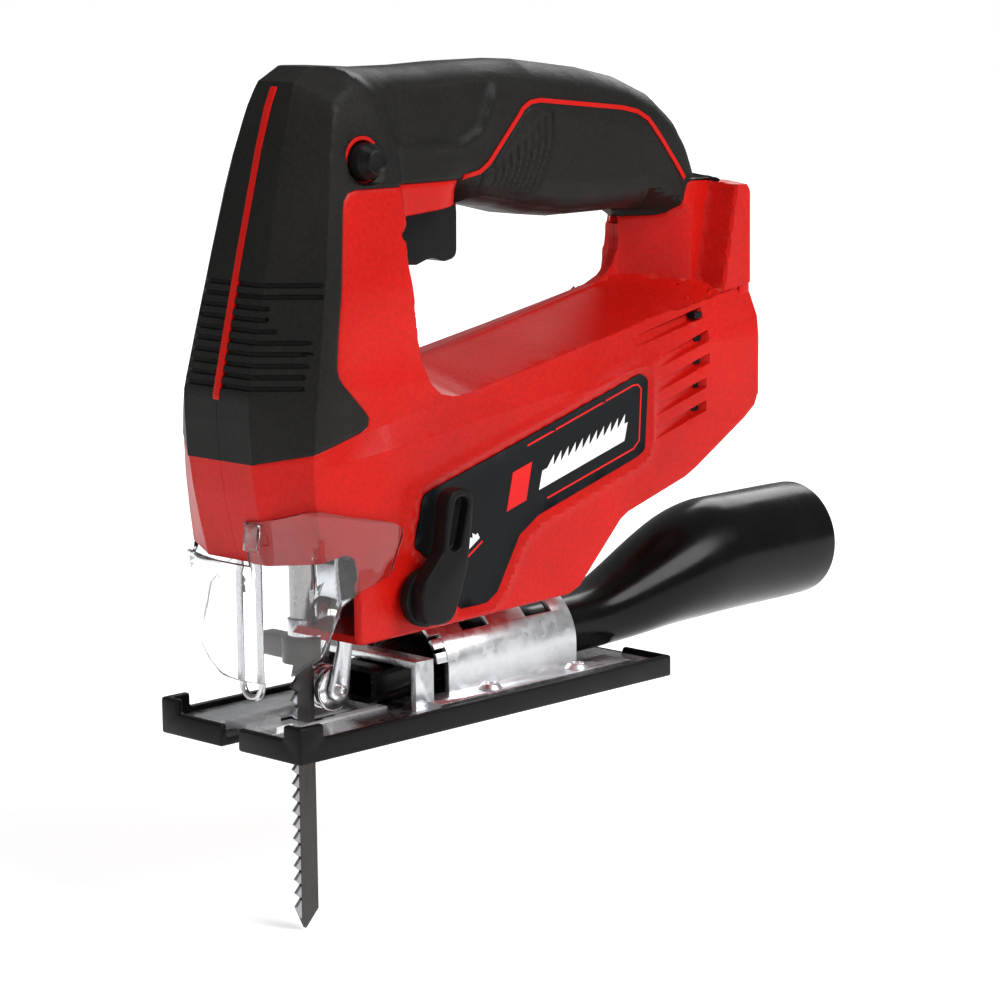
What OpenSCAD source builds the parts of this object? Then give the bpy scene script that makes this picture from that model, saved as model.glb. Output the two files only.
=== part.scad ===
// Cordless jigsaw with a D-shaped handle, an orbital blade drive, a tilting shoe and a dust tube.
// The origin is the centre of the shoe's sole. The blade end is at -X, the battery end at +X.

/* [Shoe] */
// Length of the shoe
shoe_l = 150; // [120:1:180]
// Width of the shoe
shoe_w = 58.6; // [48:0.2:70]
// Height of the shoe's rim
rim_h = 6.5; // [5:0.5:8]
// Thickness of the shoe's rim and floor
shoe_wall = 2.4; // [2:0.1:3]
// Height of the two front corners
horn_h = 10.5; // [8:0.5:12]
// Thickness of the steel base plate
plate_t = 2.4; // [2:0.1:3]
// Width of the cut-out around the blade
throat_w = 22; // [18:1:26]

/* [Tilt bracket] */
// Height of the tilt axis above the sole
tilt_z = 13; // [11.5:0.5:15.6]
// Outer radius of the half-round bracket
bracket_r = 16.5; // [13.5:0.5:20]
// Thickness of the bracket's sheet
bracket_t = 1.8; // [1.5:0.1:2.2]
// Length of the half-round part
bracket_l = 53; // [45:1:64]
// Gap between the bracket and the housing
bracket_gap = 0.5; // [0.3:0.1:0.8]

/* [Housing] */
// Height of the handle's top above the sole
top_z = 186.5; // [180:0.5:224]
// Half width of the head and the motor barrel
half_w = 29.4; // [27:0.2:36]
// Half width of the handle
handle_hw = 15.5; // [14:0.5:19]
// Wall of the housing shells
wall_t = 2.6; // [2:0.1:3.2]
// Thickness of the soft black skin
skin_t = 1.6; // [1.2:0.1:2]
// X of the battery end
rear_x = 115.5; // [112:0.5:138]
// X of the front seam at its foremost point
nose_x = -77; // [-92:0.5:-74]

/* [Drive] */
// Height of the motor axis
motor_z = 70; // [64:0.5:72]
// Diameter of the motor can
motor_d = 37; // [31:0.5:44]
// Diameter of the armature shaft
shaft_d = 5; // [4:0.5:6]
// Gear module
gear_m = 0.8; // [0.7:0.05:0.95]
// Teeth of the pinion
pinion_n = 10; // [9:1:12]
// Teeth of the main gear
gear_n = 54; // [46:2:60]
// Width of the main gear
gear_w = 5; // [4:0.5:6]
// Blade stroke
stroke = 20; // [16:0.5:24]
// X of the plunger axis
plunger_x = -47; // [-49:0.5:-46]
// Diameter of the plunger rod
rod_d = 7; // [6:0.5:8.4]

/* [Blade and guide roller] */
// Width of the blade from tooth tip to back
blade_w = 8.3; // [7:0.1:10]
// Thickness of the blade
blade_t = 1.3; // [1:0.1:1.6]
// Toothed length of the blade
blade_l = 75; // [60:1:90]
// Tooth pitch
tooth_pitch = 4; // [3:0.5:5]
// Diameter of the guide roller
roller_d = 12.8; // [11:0.2:15.4]
// Width of the guide roller
roller_w = 7; // [6:0.5:8.4]

/* [Dust tube] */
// Outer diameter of the tube
tube_d = 37; // [31:0.5:44.4]
// Wall of the tube
tube_wall = 2; // [1.6:0.1:2.4]
// X of the open end
tube_end_x = 166; // [150:1:190]
// Height of the tube's axis
tube_z = 26.5; // [24:0.5:30]

/* [Clearances] */
// Radial running clearance of shafts and pins
run_c = 0.04; // [0.02:0.01:0.08]
// Clearance of sliding plastic pieces
slide_c = 0.4; // [0.3:0.1:0.6]
// Clearance between pieces that pass each other
pass_c = 0.5; // [0.4:0.1:1]

/* [Hidden] */
$fn = 48;
eps = 0.01;
far = 400;

// Shell outline
belly_z = tilt_z + bracket_r;
skirt_z = 51;          // lower edge of the nose above the blade guard
nose_step_x = -53;     // where the nose's open bottom ends
band_z = 112;          // height of the motor barrel's top at the battery end
band_front_z = 92;     // height of the motor barrel's top at the head
column_x = 80;         // front face of the rear column
foot_end_x = 37;       // where the belly turns up towards the battery end
bow = 10;              // how far the nose stands ahead of the side faces
// Height, x of the seam and share of the half width at each level of the head
head = [
    [belly_z, nose_x + 5, 0.95], [skirt_z, nose_x + 3, 0.96], [76, nose_x, 1], [99, nose_x + 0.3, 1],
    [126, nose_x + 7.2, 0.9], [152, nose_x + 14, 0.78], [top_z - 14, nose_x + 20.5, 0.66],
    [top_z - 6, nose_x + 25, 0.55], [top_z, nose_x + 38, 0.4]
];
head_rear_x = -20;
hole = [[-24, band_front_z + 5], [-31, 146], [-24, 150], [74, 148], [column_x, 136],
    [column_x - 2, band_z + 5]];
belly = [[nose_step_x + 1, skirt_z + 3], [nose_step_x + 1, belly_z], [foot_end_x, belly_z],
    [foot_end_x + 15, belly_z + 19], [foot_end_x + 46, belly_z + 30], [rear_x - 1, belly_z + 46],
    [rear_x, band_z + 32], [rear_x - 6, band_z + 36], [column_x - 6, band_z + 36],
    [column_x - 6, band_z + 6], [-25, band_front_z + 6], [-25, skirt_z + 3]];
handle = [[-50, 140], [nose_x + 34, top_z - 1], [10, top_z], [36, top_z - 0.5], [60, top_z - 4.5],
    [86, top_z - 11], [104, top_z - 18], [rear_x + 1, top_z - 30], [rear_x - 1, band_z + 30],
    [76, 140], [-24, 140]];
lock_x = -39.5;
lock_z = 161;
lock_r = 5;
lever_x = -30;
lever_z = 40.5;
shaft_r = shaft_d / 2;

// Gear train
centre_dist = gear_m * (pinion_n + gear_n) / 2;
gear_z = motor_z + centre_dist;
crank_r = stroke / 2;
pin_z = gear_z - crank_r;
addendum = 0.68 * gear_m;
dedendum = 0.92 * gear_m;
backlash = 0.14;
gear_tip_r = gear_m * gear_n / 2 + addendum;
gear_front_x = plunger_x + 9;
gear_back_x = gear_front_x + gear_w;
frame_x = gear_back_x + 1.5;
frame_t = 3;
gear_pin_r = 4;
bearing_r = 8;
bearing_w = 5;
rear_bearing_r = 6.5;

// Plunger
collar_z = 20.5;
sleeve_top_z = collar_z + 12.5;
rod_r = rod_d / 2;
yoke_t = rod_d;
crank_gap = 0.4;
slot_h = 9.2;
yoke_h = slot_h + 7;
crank_roller_r = slot_h / 2 - 0.1;
slot_hl = crank_r + crank_roller_r + 0.3;
yoke_hl = slot_hl + 3;
bush_r = rod_r + 2.5;
bush_l = 9;
low_bush_z = sleeve_top_z + stroke + 3;
high_bush_z = pin_z + yoke_h / 2 + stroke + 8;
rod_top_z = high_bush_z + bush_l + 4;
holder_r = rod_r + 0.7;
collar_h = 7.6;
collar_r = holder_r + 1.65;
spring_pocket = 0.8;

// Blade
blade_back_x = plunger_x + 3.3;
blade_top_z = 18;
blade_tip_z = blade_top_z - blade_l;
shank_l = 23;
shank_w = 5.6;

// Guide roller and its fork
groove_r = roller_d / 2 - 1.2;
roller_x = blade_back_x + 0.5 + groove_r;
roller_z = 11.5;
roller_pin_r = 1.35;
fork_y = roller_w / 2 + 0.4;
fork_t = 1.4;
fork_pin_x = -33;
fork_pin_z = 53;
fork_pin_r = 2;
fork_swing = 4;

// Motor
can_r = motor_d / 2;
can_t = 1.6;
can_x0 = -12;
can_x1 = 50;
magnet_t = 3.2;
core_r = can_r - can_t - magnet_t - 0.6;
core_x0 = 0;
core_x1 = 32;
comm_x0 = 38;
comm_x1 = 48;
comm_r = 6;
bell_t = 6;
shaft_x1 = can_x1 + bell_t;

// Base
plate_z = shoe_wall;
plate_top = plate_z + plate_t;
flange_t = 2;
flange_z = plate_top;
bracket_x0 = -6;
bracket_x1 = bracket_x0 + bracket_l;
flange_hy = bracket_r + 9;
base_screw_y = bracket_r + 4.6;
base_screw_x = [bracket_x0 + 12, bracket_x1 - 5];
window_x = [bracket_x0 + 9, bracket_x1 - 18];
window_l = 11;
window_angle = 52;
tilt_screw_r = 2.5;
duct_r = bracket_r - bracket_t - 4.6;
duct_floor = plate_top + 0.8;
duct_x0 = bracket_x0 - 8;
strap_z = 17;
nozzle_x0 = roller_x + roller_d / 2 + 3.5;
nose_hw = duct_r - 1;
nose_wall = 1.6;
neck_x = bracket_x1 + 10;
tube_x0 = 122;

// Trigger
trig_x = -2;
trig_hw = 7;
trig_z0 = 129;
trig_z1 = 155;
trig_travel = 6;

// ---- helpers ----

module x_cyl(x0, x1, r, y = 0, z = 0) {
    translate([x0, y, z]) rotate([0, 90, 0]) cylinder(r = r, h = x1 - x0);
}

module y_cyl(y0, y1, r, x = 0, z = 0) {
    translate([x, y0, z]) rotate([-90, 0, 0]) cylinder(r = r, h = y1 - y0);
}

module z_cyl(z0, z1, r, x = 0, y = 0) {
    translate([x, y, z0]) cylinder(r = r, h = z1 - z0);
}

// A box from its lowest corner to its highest corner
module block(a, b) {
    translate(a) cube(b - a);
}

// A side outline given in x and z, thickened from y0 to y1
module side_prism(points, y0, y1) {
    translate([0, y1, 0]) rotate([90, 0, 0]) linear_extrude(y1 - y0) polygon(points);
}

// A front outline given in y and z, thickened from x0 to x1
module front_prism(points, x0, x1) {
    translate([x0, 0, 0]) rotate([90, 0, 90]) linear_extrude(x1 - x0) polygon(points);
}

// A spring of round wire wound about +Z
module coil(radius, wire_r, height, turns) {
    sides = 6;
    steps = 16 * turns;
    function ring(i) = [for (k = [0:sides - 1])
        let (a = 360 * turns * i / steps, b = 360 * k / sides, r = radius + wire_r * cos(b))
        [r * cos(a), r * sin(a), height * i / steps + wire_r * sin(b)]];
    points = [for (i = [0:steps]) each ring(i)];
    walls = [for (i = [0:steps - 1], k = [0:sides - 1])
        let (n = (k + 1) % sides)
        [i * sides + k, (i + 1) * sides + k, (i + 1) * sides + n, i * sides + n]];
    lids = [[for (k = [0:sides - 1]) k], [for (k = [sides - 1:-1:0]) steps * sides + k]];
    polyhedron(points, concat(walls, lids), convexity = 10);
}

// A round wire along a list of points in an X-Z plane
module wire(route, r) {
    sides = 8;
    last = len(route) - 1;
    function ring(i) =
        let (step = route[min(i + 1, last)] - route[max(i - 1, 0)], d = step / norm(step))
        [for (k = [0:sides - 1]) let (a = 360 * k / sides)
            route[i] + r * (cos(a) * [d[2], 0, -d[0]] + sin(a) * [0, 1, 0])];
    points = [for (i = [0:last]) each ring(i)];
    walls = [for (i = [0:last - 1], k = [0:sides - 1])
        let (n = (k + 1) % sides, a = i * sides, b = a + sides)
        each [[a + k, a + n, b + k], [a + n, b + n, b + k]]];
    lids = [[for (k = [sides - 1:-1:0]) k], [for (k = [0:sides - 1]) last * sides + k]];
    polyhedron(points, concat(walls, lids), convexity = 10);
}

// Involute of a circle of radius b, at roll angle t in degrees
function involute(b, t) = [b * (cos(t) + PI * t / 180 * sin(t)), b * (sin(t) - PI * t / 180 * cos(t))];
function roll(b, r) = r > b ? 180 / PI * sqrt(pow(r / b, 2) - 1) : 0;
function polar(r, a) = [r * cos(a), r * sin(a)];
function angle_of(p) = atan2(p[1], p[0]);

// Outline of a spur gear with a tooth centred on +X
function gear_points(n) =
    let (pitch_r = gear_m * n / 2, base_r = pitch_r * cos(20), tip = pitch_r + addendum,
        root = pitch_r - dedendum, half = 90 / n - 90 * backlash / (PI * pitch_r),
        at_pitch = angle_of(involute(base_r, roll(base_r, pitch_r))),
        flank = [for (k = [0:3]) let (r = max(base_r, root) + (tip - max(base_r, root)) * k / 3)
            [r, half + at_pitch - angle_of(involute(base_r, roll(base_r, r)))]])
    [for (i = [0:n - 1]) let (c = 360 * i / n) each concat(
        [polar(root, c - flank[0][1])], [for (f = flank) polar(f[0], c - f[1])],
        [for (k = [3:-1:0]) polar(flank[k][0], c + flank[k][1])], [polar(root, c + flank[0][1])])];

module spur_gear(n, width) {
    linear_extrude(width) polygon(gear_points(n));
}

// Plan outline of the head at one level, pulled in by t
function head_plan(level, t) =
    let (y = half_w * level[2] - t, x = level[1] + t)
    [[x, 0], [x + 0.2 * bow, -0.4 * y], [x + bow, -y], [head_rear_x - t, -y],
        [head_rear_x - t, y], [x + bow, y], [x + 0.2 * bow, 0.4 * y]];

module head_solid(t) {
    top = t > 0 ? 2 : 0;
    hull() for (level = head)
        translate([0, 0, level[0] - (level[0] > top_z - 20 ? t : 0)])
            linear_extrude(eps) polygon(head_plan(level, t));
}

module hand_hole(t = 0) {
    translate([0, far, 0]) rotate([90, 0, 0]) linear_extrude(2 * far)
        offset(delta = t) polygon(hole);
}

// Everything inside the outer surface of the housing, pulled in by t
module body_solid(t) {
    difference() {
        union() {
            intersection() {
                head_solid(t);
                block([-far, -far, skirt_z], [far, far, far]);
            }
            side_prism(belly, -half_w + t, half_w - t);
            side_prism(handle, -handle_hw + t, handle_hw - t);
        }
        hand_hole(t);
    }
}

// The hollow of the housing
module hollow() {
    t = wall_t + skin_t;
    difference() {
        union() {
            head_solid(t);
            side_prism([[nose_step_x + 4, belly_z + wall_t], [foot_end_x - 1, belly_z + wall_t],
                [foot_end_x + 14, belly_z + 19 + wall_t], [foot_end_x + 45, belly_z + 30 + wall_t],
                [rear_x - battery_depth - wall_t, belly_z + 42 + wall_t],
                [rear_x - battery_depth - wall_t, band_z + 32], [column_x + wall_t, band_z + 32],
                [column_x + wall_t, band_z], [-20, band_front_z + 3]], -half_w + t, half_w - t);
            side_prism([[-40, 152 + t], [-38, top_z - t - 2], [10, top_z - t], [60, top_z - t - 4.5],
                [86, top_z - t - 12], [98, top_z - t - 20], [70, 148 + t], [-20, 150 + t]],
                -handle_hw + t, handle_hw - t);
        }
        hand_hole(wall_t);
    }
}

// The outline, seen from the side, that the black skin covers
skin_outline = [[-far, 80], [-66, 84], [-46, 88], [-44, 91], [-55.5, 104], [-51, 127], [-47.5, 151],
    [-44, 153.5], [0, 153.5], [5, 146], [5, 130], [60, 130], [86, 138], [96, 146.5], [far, 148],
    [far, far], [-far, far]];
pad_outline = [[8, 151], [30.5, 172], [72, 168.5], [80, 166], [86, 159.5], [96, 148], [96, 141],
    [91.5, 137], [60, 130], [30, 130], [8, 140]];
label_outline = [[-27, 68.5], [12, 79], [62, 93], [65, 91], [63.5, 70], [60, 68.5], [18, 56.5],
    [11.5, 52.5], [1.5, 36.5], [-2, 34.5], [-14, 34], [-16, 42], [-31, 54]];
label_t = 0.5;

// The part of the outer surface layer that the skin replaces
module skin_layer(points) {
    difference() {
        intersection() {
            body_solid(0);
            side_prism(points, -far, far);
        }
        body_solid(skin_t);
        seam_slit();
        side_openings();
        screw_holes(run_c);
    }
}

// The red rib of the housing shows through this slit in the front of the skin
module seam_slit() {
    block([-far, -1, 86], [-50, 1, top_z - 8]);
}

boss_at = [[-66, 66], [-60, 122], [-45, 173], [22, 93.5], [64, 64], [90, 84], [70, 157]];
boss_r = 4.2;
screw_r = 1.7;
screw_head_r = 3;
screw_head_y = 11;
battery_depth = 11;
battery_hw = 19;
battery_z0 = 88;
rail_lip = 5;
rail_undercut = 4;
vent_pitch = 6.6;

module side_openings() {
    // lock button
    y_cyl(-far, 0, lock_r + 1.5, lock_x, lock_z);
    // orbit lever shaft
    y_cyl(-far, 0, lever_shaft_r + pass_c, lever_x, lever_z);
    // trigger
    block([trig_x - 11 - slide_c, -trig_hw - slide_c, trig_z0 - 20],
        [trig_x + 11 + slide_c, trig_hw + slide_c, trig_z1 + trig_travel + 2]);
    // battery slide, open at the top and rear
    block([rear_x - battery_depth, -battery_hw, battery_z0], [far, battery_hw, far]);
    block([rear_x - battery_depth, -battery_hw - rail_undercut, battery_z0],
        [rear_x - rail_lip, battery_hw + rail_undercut, far]);
    // nose, open below for the plunger and the guide roller's fork
    block([-far, -20, -far], [fork_pin_x - 5, 20, skirt_z + 1]);
    block([-60, -fork_y - 5, -far], [lever_x + 5, fork_y + 4, belly_z + wall_t + 1]);
    // channel over the tilting bracket
    x_cyl(-60, bracket_x1 + 40, bracket_r + bracket_gap, 0, tilt_z);
    // clamp screws of the tilting bracket
    for (x = window_x) z_cyl(0, belly_z + wall_t + 6, tilt_screw_r + run_c, x + window_l / 2);
    // window for the battery contacts
    block([block_x + 2, contact_y[0] - 1, block_z + 3], [far, -contact_y[0] + 1, block_z + 17]);
    // way for the leads from the column into the handle
    block([column_x + 3, -5, band_z + 26], [column_x + 14, 5, band_z + 48]);
    // cooling slots
    for (k = [0:4]) block([78, -far, band_z - 9 - vent_pitch * k], [94, far, band_z - 6.6 - vent_pitch * k]);
}

module bosses() {
    intersection() {
        hollow();
        for (b = boss_at) y_cyl(-far, far, boss_r, b[0], b[1]);
    }
}

module screw_holes(k) {
    for (b = boss_at) {
        y_cyl(-screw_head_y - 3, far, screw_r + k, b[0], b[1]);
        y_cyl(screw_head_y - k, far, screw_head_r + 0.4, b[0], b[1]);
    }
}

module shell_half(y0, y1) {
    intersection() {
        difference() {
            body_solid(0);
            difference() {
                union() {
                    side_prism(skin_outline, -far, far);
                    side_prism(pad_outline, -far, far);
                }
                body_solid(skin_t);
                seam_slit();
            }
            difference() {
                hollow();
                bosses();
            }
            screw_holes(run_c);
            side_openings();
            housing_seats();
        }
        block([-far, y0, -far], [far, y1, far]);
    }
}

// Pockets that the inner pieces sit in
module housing_seats() {
    block([upper_x0 - run_c, -upper_hw - run_c, high_bush_z - run_c],
        [upper_x1 + run_c, upper_hw + run_c, high_bush_z + bush_l + run_c]);
    x_cyl(can_x0 - run_c, can_x1 + bell_t + run_c, can_r + run_c, 0, motor_z);
}

// ---- housing ----

module housing_left() {
    color("red") shell_half(-far, 0);
}

module housing_right() {
    color("red") shell_half(0, far);
}

module skin_half(y0, y1) {
    intersection() {
        difference() {
            skin_layer(skin_outline);
            side_prism(pad_outline, -far, far);
        }
        block([-far, y0, -far], [far, y1, far]);
    }
}

module skin_left() {
    color("dimgray") skin_half(-far, 0);
}

module skin_right() {
    color("dimgray") skin_half(0, far);
}

module pad_half(y0, y1) {
    intersection() {
        skin_layer(pad_outline);
        block([-far, y0, -far], [far, y1, far]);
    }
}

module grip_pad_left() {
    color("black") pad_half(-far, 0);
}

module grip_pad_right() {
    color("black") pad_half(0, far);
}

module label_left() {
    color("midnightblue") difference() {
        side_prism(label_outline, -half_w - label_t, -half_w);
        y_cyl(-far, 0, lever_shaft_r + pass_c, lever_x, lever_z);
    }
}

module label_right() {
    color("midnightblue") side_prism(label_outline, half_w, half_w + label_t);
}

guard_t = 1.4;
guard_gap = 0.3;
guard_bottom_z = 22;
guard_front_x = nose_x + 1.5;
guard_side = [[guard_front_x - 20, guard_bottom_z - 8], [-66.5, guard_bottom_z - 8], [-64.5, 28.6],
    [-62.5, 31], [-59.3, 39], [-56.5, 43.5], [-39.5, 49], [-36.5, 60], [-37, 62], [-59, 67], [-65, 69],
    [-65, skirt_z], [guard_front_x - 20, skirt_z]];
// Lower edge of the guard seen from the front: it rises to the sides, to clear the tilted shoe
guard_floor = [[-far, 58], [-33, 29.5], [-27, 26.6], [-20.5, 23], [-12, 18.8], [0, 18.2], [12, 18.8],
    [20.5, 23], [27, 26.6], [33, 29.5], [far, 58], [far, far], [-far, far]];

// Plan outline of the blade guard, pulled in by t
function guard_plan(t) =
    let (y = half_w + guard_gap + guard_t - t, x = guard_front_x + t)
    [[x, -0.2 * y], [x + 3, -0.6 * y], [x + bow, -y], [0, -y], [0, y], [x + bow, y], [x + 3, 0.6 * y],
        [x, 0.2 * y]];

module chip_guard() {
    color("lightcyan", 0.4) difference() {
        intersection() {
            linear_extrude(100) polygon(guard_plan(0));
            side_prism(guard_side, -far, far);
            front_prism(guard_floor, -far, far);
        }
        linear_extrude(skirt_z - 0.5) polygon(guard_plan(guard_t));
        translate([0, 0, skirt_z - 1]) linear_extrude(50) polygon(guard_plan(guard_t));
        block([-66, -half_w - guard_gap, 0], [far, half_w + guard_gap, far]);
    }
}

wire_x = -66;
wire_hy = 4;
wire_r = 1;
wire_low_z = 17;

module wire_guard() {
    color("silver") {
        for (side = [-1, 1]) z_cyl(wire_low_z, skirt_z + 8, wire_r, wire_x, side * wire_hy);
        translate([wire_x, 0, wire_low_z]) rotate([90, 0, 90])
            rotate([180, 0, 0]) rotate_extrude(angle = 180) translate([wire_hy, 0]) circle(wire_r);
    }
}

module housing_screws() {
    color("silver") for (b = boss_at) {
        y_cyl(-screw_head_y, screw_head_y, screw_r, b[0], b[1]);
        y_cyl(screw_head_y, screw_head_y + 2.4, screw_head_r, b[0], b[1]);
    }
}

// ---- electrical parts ----

block_x = rear_x - battery_depth - wall_t - 9;
block_z = battery_z0 + 8;
contact_y = [-12, -4, 4, 12];

module terminal_block() {
    color("black") difference() {
        block([block_x, -16, block_z], [block_x + 8, 16, block_z + 20]);
        for (y = contact_y) block([block_x - 1, y - 0.8, block_z + 4], [far, y + 0.8, block_z + 16]);
    }
}

module battery_contacts() {
    color("gold") for (y = contact_y)
        block([block_x - 2, y - 0.7, block_z + 5], [rear_x - 3, y + 0.7, block_z + 15]);
}

switch_z = 162.5;

module switch_module() {
    color("darkslategray") block([trig_x - 9, -8, switch_z], [trig_x + 22, 8, switch_z + 13]);
}

module power_leads() {
    color("crimson") for (y = contact_y[0] * [0.25, -0.25])
        wire([[trig_x + 22.3, y, 169], [40, y, 168], [70, y, 167], [81, y, 163.5], [88.5, y, 153], [88.5, y, 140],
            [91, y, 120], [block_x - 3.6, y, block_z + 12]], 1.1);
}

// ---- motor ----

module motor_can() {
    color("silver") difference() {
        x_cyl(can_x0, can_x1, can_r, 0, motor_z);
        x_cyl(can_x0 + can_t, can_x1 + 1, can_r - can_t, 0, motor_z);
        x_cyl(can_x0 - 1, can_x1, shaft_r + 3, 0, motor_z);
        for (a = [0:60:300]) translate([0, 0, motor_z]) rotate([a, 0, 0])
            x_cyl(can_x0 - 1, can_x0 + can_t + 1, 2.5, 0, can_r * 0.62);
    }
}

module motor_magnets() {
    color("dimgray") difference() {
        x_cyl(core_x0, core_x1, can_r - can_t - 0.05, 0, motor_z);
        x_cyl(core_x0 - 1, core_x1 + 1, can_r - can_t - magnet_t, 0, motor_z);
        for (side = [-1, 1])
            block([core_x0 - 1, side < 0 ? -far : 0, motor_z - 4],
                [core_x1 + 1, side < 0 ? 0 : far, motor_z + 4]);
    }
}

module motor_end_bell() {
    color("darkslategray") difference() {
        x_cyl(can_x1, can_x1 + bell_t, can_r, 0, motor_z);
        x_cyl(can_x1 - 1, can_x1 + bell_t + 1, rear_bearing_r, 0, motor_z);
    }
}

brush_l = 7;

module carbon_brushes() {
    color("black") for (side = [0, 180])
        translate([0, 0, motor_z]) rotate([side, 0, 0]) translate([0, 0, -motor_z])
            block([comm_x0 + 2, comm_r + 0.2, motor_z - 3], [comm_x1 - 2, comm_r + brush_l, motor_z + 3]);
}

// A ball bearing: outer ring, inner ring and its balls
module ball_bearing(x, outer, inner, width) {
    ball_r = (outer - inner) * 0.24;
    mid = (outer + inner) / 2;
    difference() {
        x_cyl(x, x + width, outer, 0, motor_z);
        x_cyl(x - 1, x + width + 1, mid + 0.5 * ball_r, 0, motor_z);
    }
    difference() {
        x_cyl(x, x + width, mid - 0.5 * ball_r, 0, motor_z);
        x_cyl(x - 1, x + width + 1, inner, 0, motor_z);
    }
    difference() {
        x_cyl(x + width * 0.3, x + width * 0.7, mid + 0.5 * ball_r, 0, motor_z);
        x_cyl(x, x + width, mid - 0.5 * ball_r, 0, motor_z);
    }
}

module front_bearing() {
    color("silver") ball_bearing(frame_x, bearing_r, shaft_r + run_c, bearing_w);
}

module rear_bearing() {
    color("silver") ball_bearing(can_x1 + 0.5, rear_bearing_r, shaft_r + run_c, bell_t - 1);
}

module armature_shaft() {
    color("silver") x_cyl(gear_front_x - 0.5, shaft_x1, shaft_r, 0, motor_z);
}

module armature_core() {
    color("peru") difference() {
        union() {
            for (a = [0:30:330]) translate([0, 0, motor_z]) rotate([a, 0, 0])
                block([core_x0, -2.1, shaft_r + 1], [core_x1, 2.1, core_r - 0.4]);
            x_cyl(core_x0 - 1.5, core_x1 + 1.5, core_r - 2.5, 0, motor_z);
        }
        x_cyl(core_x0 - 3, core_x1 + 3, shaft_r, 0, motor_z);
    }
}

module commutator() {
    color("orange") difference() {
        x_cyl(comm_x0, comm_x1, comm_r, 0, motor_z);
        x_cyl(comm_x0 - 1, comm_x1 + 1, shaft_r, 0, motor_z);
    }
}

fan_x0 = frame_x + bearing_w + 1.5;
fan_x1 = can_x0 - 1;
fan_r = can_r - 2;

module cooling_fan() {
    color("white") difference() {
        union() {
            x_cyl(fan_x1 - 1.5, fan_x1, fan_r, 0, motor_z);
            x_cyl(fan_x0, fan_x1, shaft_r + 2, 0, motor_z);
            for (a = [0:40:320]) translate([0, 0, motor_z]) rotate([a, 0, 0])
                block([fan_x0 + 1, -0.6, shaft_r + 1], [fan_x1 - 0.5, 0.6, fan_r - 1]);
        }
        x_cyl(fan_x0 - 1, fan_x1 + 1, shaft_r, 0, motor_z);
    }
}

// ---- gearbox ----

module pinion() {
    color("silver") difference() {
        translate([gear_front_x, 0, motor_z]) rotate([0, 90, 0]) rotate([0, 0, 180])
            spur_gear(pinion_n, gear_w);
        x_cyl(gear_front_x - 1, gear_back_x + 1, shaft_r, 0, motor_z);
    }
}

arm_hw = bush_r + 3;

module gear_frame() {
    color("lightgray") difference() {
        union() {
            block([frame_x, -16, low_bush_z], [frame_x + frame_t, 16, gear_z + 8]);
            block([plunger_x - bush_r - 2, -arm_hw, low_bush_z], [frame_x + frame_t, arm_hw,
                low_bush_z + bush_l]);
            x_cyl(frame_x, frame_x + bearing_w, bearing_r + 2, 0, motor_z);
            // ears that hold the fork's pin
            block([fork_pin_x - 4, -arm_hw, fork_pin_z - 4], [frame_x + frame_t, arm_hw, low_bush_z + 1]);
        }
        x_cyl(frame_x - 1, frame_x + bearing_w + 1, bearing_r, 0, motor_z);
        x_cyl(frame_x - 1, frame_x + frame_t + 1, gear_pin_r, 0, gear_z);
        z_cyl(low_bush_z - 1, low_bush_z + bush_l + 1, bush_r, plunger_x);
        block([fork_pin_x - 6, -fork_y - 3, 0], [frame_x + frame_t + 1, fork_y + 3, fork_pin_z + 5.5]);
        y_cyl(-20, 20, fork_pin_r, fork_pin_x, fork_pin_z);
    }
}

upper_hw = 11;
upper_x0 = plunger_x - bush_r - 2.5;
upper_x1 = plunger_x + bush_r + 2.5;

module upper_guide() {
    color("lightgray") difference() {
        block([upper_x0, -upper_hw, high_bush_z], [upper_x1, upper_hw, high_bush_z + bush_l]);
        z_cyl(high_bush_z - 1, high_bush_z + bush_l + 1, bush_r, plunger_x);
    }
}

module plunger_bushings() {
    color("goldenrod") for (z = [low_bush_z, high_bush_z]) difference() {
        z_cyl(z, z + bush_l, bush_r, plunger_x);
        z_cyl(z - 1, z + bush_l + 1, rod_r + run_c, plunger_x);
    }
}

module plunger_seal() {
    color("black") difference() {
        z_cyl(low_bush_z + bush_l, low_bush_z + bush_l + 2, bush_r + 1.5, plunger_x);
        z_cyl(0, far, rod_r + 0.1, plunger_x);
    }
}

module gear_pin() {
    color("silver") x_cyl(gear_front_x - 1.6, frame_x + frame_t, gear_pin_r, 0, gear_z);
}

module gear_clip() {
    color("dimgray") difference() {
        x_cyl(gear_front_x - 1.2, gear_front_x - 0.4, gear_pin_r + 1.5, 0, gear_z);
        x_cyl(gear_front_x - 2, gear_front_x, gear_pin_r, 0, gear_z);
        block([gear_front_x - 2, -2, gear_z], [gear_front_x, 2, gear_z + 10]);
    }
}

module main_gear() {
    color("gray") difference() {
        translate([gear_front_x, 0, gear_z]) rotate([0, 90, 0]) rotate([0, 0, 180 / gear_n])
            spur_gear(gear_n, gear_w);
        x_cyl(gear_front_x - 1, gear_back_x + 1, gear_pin_r + run_c, 0, gear_z);
        x_cyl(gear_front_x - 1, gear_back_x + 1, crank_pin_r, 0, pin_z);
    }
}

crank_pin_r = 2;
crank_pin_x0 = plunger_x + yoke_t / 2 + crank_gap;

module counterweight() {
    color("dimgray") difference() {
        x_cyl(gear_front_x - 2.5, gear_front_x, gear_tip_r - 3, 0, gear_z);
        x_cyl(gear_front_x - 3, gear_front_x + 1, gear_pin_r + 3, 0, gear_z);
        block([gear_front_x - 3, -far, 0], [gear_front_x + 1, far, gear_z + 2]);
    }
}

module crank_pin() {
    color("silver") x_cyl(crank_pin_x0, gear_back_x, crank_pin_r, 0, pin_z);
}

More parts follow.
